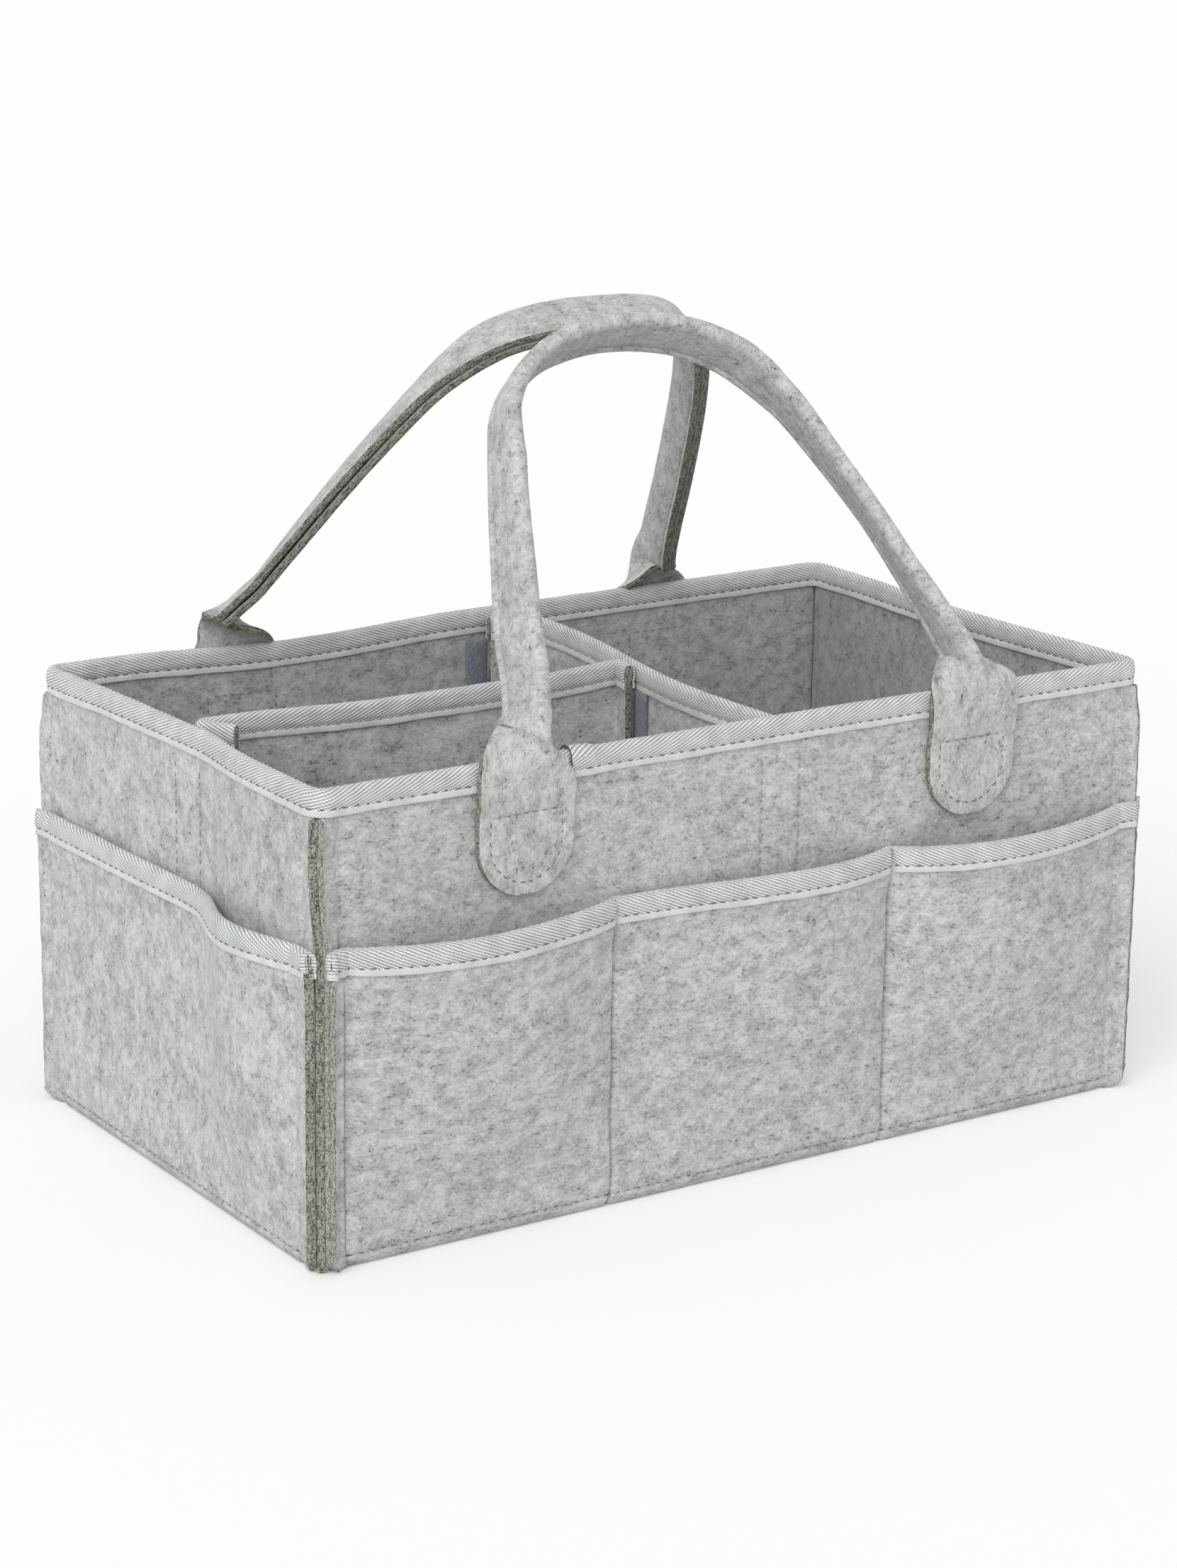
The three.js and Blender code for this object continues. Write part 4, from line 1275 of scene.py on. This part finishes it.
# One carry handle: a felt strip with round ends that is sewn flat to the wall, folds in half
# just above the rim so that its cut edges face inwards, and runs over in an arch. In its
# cross section v runs over the cloth, a is how far a point then lies to the side and b how
# far inwards. The twist turns the folded band about its own length.
def addHandle(name, sign, knots, folds, body):
    look = handles
    wide = look["halfWidth"]
    strip = handleStrip(knots)
    along, total, past, share = strip["along"], strip["total"], strip["past"], strip["share"]
    later = (along > total / 2).astype(int)[:, None]
    leg = {key: np.array(pair)[later] for key, pair in folds.items()}

    outwards = share > 0
    column = past[:, None]
    turned = np.clip((column - leg["outerFold"]) / (leg["outerEnd"] - leg["outerFold"]), 0, 1)
    outerClosing = 0.5 * smooth(turned) + np.arcsin(turned) / np.pi
    opening = 1 - np.clip((column - leg["innerFold"]) / (leg["innerEnd"] - leg["innerFold"]), 0, 1)
    closing = np.where(outwards, outerClosing, 1 - opening ** 2)
    drawIn = smooth(column, *look["waistRise"]) * (1 - smooth(column, *look["waistEnd"]))
    v = strip["halfWidth"][:, None] * share * (1 - look["narrowing"] * closing * (1 - closing))
    v = v * (1 - drawIn * np.where(outwards, 1 - leg["outerWaist"], 1 - leg["innerWaist"]))
    reach = np.abs(v)

    fold = np.pi / 2 * closing
    folded = closing ** 2
    radius = look["bendRadius"]
    bent = np.minimum(fold, reach / radius)
    rest = np.maximum(reach - radius * fold, 0)
    puff = look["puff"] * hill(reach, *look["puffAt"]) + look["edgePuff"] * smooth(reach, *look["edgeRise"])
    puff = puff - look["seamDip"] * bell(reach, look["groove"], look["dipWidth"])
    a = np.sign(v) * (radius * np.sin(bent) + rest * np.cos(fold) + puff * folded)
    b = radius * (1 - np.cos(bent)) + rest * np.sin(fold)
    b = b + look["waver"] * softNoise(together(along[:, None], 5, np.sign(v) * 9), 26, 3) * folded

    angle = strip["twist"][:, None] * smooth(column / leg["twistEnd"])
    middle = look["middle"] * smooth(column, *look["middleRise"])
    offset = b + look["felt"] / 2 - middle
    side = a * np.cos(angle) - offset * np.sin(angle)
    height = look["hingeZ"] + past
    foot = look["footLift"] * (1 - smooth(height, *look["footRise"]))
    inside = middle + a * np.sin(angle) + offset * np.cos(angle) + foot[:, None]

    fading = np.clip(1 - column / leg["wanderEnd"], 0, 1) ** 1.2
    ridge = leg["wander"] * smooth(column, *look["ridgeRise"]) * fading
    ridge = ridge * (1 - reach / wide)
    ahead = unit(np.gradient(together(strip["x"], past), axis=0))
    placeX = strip["x"][:, None] - ahead[:, 1:] * (side - ridge)
    inwards, upwards, lean = leanPath(column + ahead[:, :1] * side)
    y = look["hingeW"] + innerY - inwards - inside * np.cos(lean)
    z = look["hingeZ"] + upwards - inside * np.sin(lean)
    grid = together(placeX, sign * y, z)

    # the sewn ends settle with the wall
    onWall = grid.copy()
    onWall[..., 2] = np.minimum(onWall[..., 2], look["wallTop"])
    onWall[..., 1] = sign * np.maximum(np.abs(onWall[..., 1]), innerY)
    stay = (1 - smooth(past, *look["freeRise"]))[:, None, None]
    grid = grid + stay * (settle(onWall) - onWall)

    facing = unit(np.cross(np.gradient(grid, axis=0), np.gradient(grid, axis=1)))
    inset = wide - look["stitchInset"]
    fromEnd = strip["fromEnd"][:, None]
    fromRound = np.where(fromEnd < wide, np.hypot(v, wide - fromEnd), np.abs(v))
    seam = bell(fromRound, inset, look["seamWidth"]) * (height < look["seamTop"])[:, None]
    for place in (along, total - along):
        pressedBar = bell(place[:, None], strip["bar"], look["barWidth"])
        seam = seam + look["barDepth"] * pressedBar * (reach < inset)
    seam = np.minimum(seam, look["barDepth"]) * (height < look["barTop"])[:, None]
    groove = bell(reach, look["groove"], look["grooveWidth"]) * folded
    thick = look["felt"] - look["pressed"] * seam - look["pressed"] * groove
    lumps = look["lumps"] * softNoise(grid, 9, 8)
    faces = [grid + turn * facing * (thick / 2 + lumps)[..., None] for turn in (1, -1)]
    place = together(along[:, None], v, 700.0 + 60 * sign)
    solid = clothSolid(faces[0], faces[1], place, look["felt"], 0.35, 0.25)
    piece = addPiece(name, solid, [strapFelt, rawFelt], None, None)
    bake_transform(piece)
    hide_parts(body, body + "_left_tab", body + "_right_tab")
    addHandleStitches(name, sign, body, strip, faces, facing)


# The seam that holds the folded strap together, and on both ends a seam that follows the
# round edge and a bar across, seen on the outside and inside the wall.
def addHandleStitches(name, sign, body, strip, faces, facing):
    look = handles
    wide = look["halfWidth"]
    along, total, bar, share = strip["along"], strip["total"], strip["bar"], strip["share"]
    columns = np.arange(len(along))
    rows = np.arange(len(share))
    legs = columns[strip["past"] > look["strapSeamFrom"]]
    picked = np.linspace(legs[0], legs[-1], 600)
    strapLines = []
    for level in (look["groove"], -look["groove"]):
        across = np.interp(np.full(len(picked), level / wide), share, rows)
        for face, turn in zip(faces, (1, -1)):
            out = gridPoint(facing, picked, across) * turn
            strapLines.append((gridPoint(face, picked, across) + look["proud"] * out, out))
    addStitches(name + "_strap_stitches", strapLines, paleThread, body, "strap")

    inset = wide - look["stitchInset"]
    bend = np.linspace(0, np.pi, 40)
    up = np.linspace(bar, wide, 12)
    across = 0 * up + inset
    barAcross = np.linspace(-inset + look["barDepth"], inset - look["barDepth"], 30)
    tabSeams = (
        (joined(up, wide - inset * np.sin(bend), up[::-1]), joined(-across, -inset * np.cos(bend), across)),
        (0 * barAcross + bar, barAcross),
    )
    outFace = max(faces, key=lambda face: abs(face[0, len(share) // 2, 1]))
    tabLines = []
    innerLines = []
    for mirrored in (False, True):
        for seamAlong, seamAcross in tabSeams:
            where = total - seamAlong if mirrored else seamAlong
            picked = np.interp(where, along, columns)
            widthHere = np.interp(where, along, strip["halfWidth"])
            line = gridPoint(outFace, picked, np.interp(seamAcross / widthHere, share, rows))
            out = np.broadcast_to(np.array([0, sign, 0.0]), line.shape)
            tabLines.append((line + look["tabProud"] * out, out))
            inside = line.copy()
            inside[:, 1] = sign * (innerY - look["proud"])
            shift = settle(inside) - inside
            innerLines.append((inside + shift * [0, 1, 0], -out))
    addStitches(name + "_tab_stitches", tabLines, darkThread, "box", "tab")
    addStitches(name + "_tab_inner_stitches", innerLines, darkThread, "box", "tabInner")


addHandle("front_carry_handle", -1, frontKnots, frontFolds, "front_handle")
addHandle("back_carry_handle", 1, backKnots, backFolds, "back_handle")
print("handles made")

seamEnds = {
    "base": 7, "pocketFoot": 8, "pocketTop": 12, "stripFoot": 100, "stripTop": 1.4, "inner": 1.55,
    "proud": 0.05, "stripProud": 0.02,
}


# Stitches along the base, along the pocket seams and round the sewn strips.
def addSeamStitches():
    boxLines = []
    stripLines = []
    proud = seamEnds["proud"]

    def sew(lines, side, u, w, z, turn=1):
        line = settle(onSide(side, u, w, z))
        lines.append((line, np.broadcast_to(turn * sideAxes(side)[1], line.shape)))

    for side in sideHalf:
        end = sideHalf[side] - seamEnds["base"]
        u = np.linspace(-end, end, 160)
        z = np.full_like(u, seams["base"])
        sew(boxLines, side, u, pocketInset(side, u, z) + box["felt"] - seams["basePinch"] + proud, z)
        for place in pocketLines[side]:
            z = np.linspace(seamEnds["pocketFoot"], pocketTop - seamEnds["pocketTop"], 60)
            u = np.full_like(z, place)
            sew(boxLines, side, u, pocketInset(side, u, z) + box["felt"] - seams["linePinch"] + proud, z)
    addStitches("seam_stitches", boxLines, darkThread)
    foot = seamEnds["stripFoot"]
    top = strips["top"] - seamEnds["stripTop"]
    for side, pair in wallLines.items():
        if not pair:
            continue
        first, last = pair
        turns = [(first, foot), (first, top), (last, top), (last, foot)]
        for (u0, z0), (u1, z1) in zip(turns, turns[1:]):
            u = np.linspace(u0, u1, 24)
            z = np.linspace(z0, z1, 24)
            sew(stripLines, side, u, box["felt"] + seamEnds["stripProud"], z)
            sew(stripLines, side, u, -seamEnds["inner"], z, -1)
    addStitches("strip_stitches", stripLines, paleThread, "box", "strip")


addSeamStitches()
print("stitches made")

stageLook = {
    "world": 0.62, "keyStrength": 1.5, "keyTurn": -52, "keyRise": 38, "keySize": 50,
    "floor": (0.86, 0.86, 0.86, 1), "floorGlow": 0.2, "floorHalf": 8, "floorZ": -0.0006,
}


# A pale floor, even studio light and one soft sun. The world is plain white to the camera
# and dimmer as a light.
def addStage():
    look = stageLook
    half = look["floorHalf"]
    places = [(x * half, y * half, look["floorZ"]) for x, y in ((-1, -1), (1, -1), (1, 1), (-1, 1))]
    mesh = bpy.data.meshes.new("floor")
    mesh.from_pydata(places, [], [(0, 1, 2, 3)])
    floor = newObject("floor", mesh)
    material, tree, shader = newMaterial("pale floor", 1.0, 0.0)
    shader.inputs["Base Color"].default_value = look["floor"]
    shader.inputs["Specular IOR Level"].default_value = 0.0
    shader.inputs["Emission Color"].default_value = (1, 1, 1, 1)
    seen = node(tree, "LightPath", {})
    glow = calc(tree, "MULTIPLY", seen["Is Camera Ray"], look["floorGlow"])
    tree.links.new(glow, shader.inputs["Emission Strength"])
    mesh.materials.append(material)

    world = bpy.data.worlds.new("studio")
    bpy.context.scene.world = world
    world.use_nodes = True
    tree = world.node_tree
    back = tree.nodes["Background"]
    back.inputs["Color"].default_value = (1, 1, 1, 1)
    seen = node(tree, "LightPath", {})
    shown = calc(tree, "MAXIMUM", seen["Is Camera Ray"], seen["Is Glossy Ray"])
    shown = calc(tree, "MAXIMUM", shown, seen["Is Transmission Ray"])
    tree.links.new(ramp(tree, shown, 0.0, 1.0, look["world"], 1.0), back.inputs["Strength"])

    light = bpy.data.lights.new("key", "SUN")
    light.energy = look["keyStrength"]
    light.angle = math.radians(look["keySize"])
    lamp = newObject("key", light)
    lamp.rotation_euler = (math.radians(90 - look["keyRise"]), 0, math.radians(look["keyTurn"]))


addStage()

lens = {
    "turn": -33.6014, "rise": 15.7073, "roll": 0.70765, "distance": 1576.06,
    "aimRight": -2.417, "aimUp": 124.429, "length": 88.5, "sensor": 36,
}


# The camera looks along -back at a point aimRight and aimUp from the origin in its own view.
def addCamera():
    turn, rise, roll = (math.radians(lens[key]) for key in ("turn", "rise", "roll"))
    back = np.array([math.sin(turn) * math.cos(rise), -math.cos(turn) * math.cos(rise), math.sin(rise)])
    right = np.array([math.cos(turn), math.sin(turn), 0])
    up = np.cross(back, right)
    across = math.cos(roll) * right + math.sin(roll) * up
    above = -math.sin(roll) * right + math.cos(roll) * up
    place = (lens["aimRight"] * right + lens["aimUp"] * up + lens["distance"] * back) * 0.001
    camera = bpy.data.cameras.new("camera")
    camera.lens = lens["length"]
    camera.sensor_width = lens["sensor"]
    viewer = newObject("camera", camera)
    rows = [[across[k], above[k], back[k], place[k]] for k in range(3)] + [[0, 0, 0, 1]]
    viewer.matrix_world = Matrix(rows)
    bpy.context.scene.camera = viewer


addCamera()
bpy.context.scene.view_settings.view_transform = "Standard"

print("scene ready")
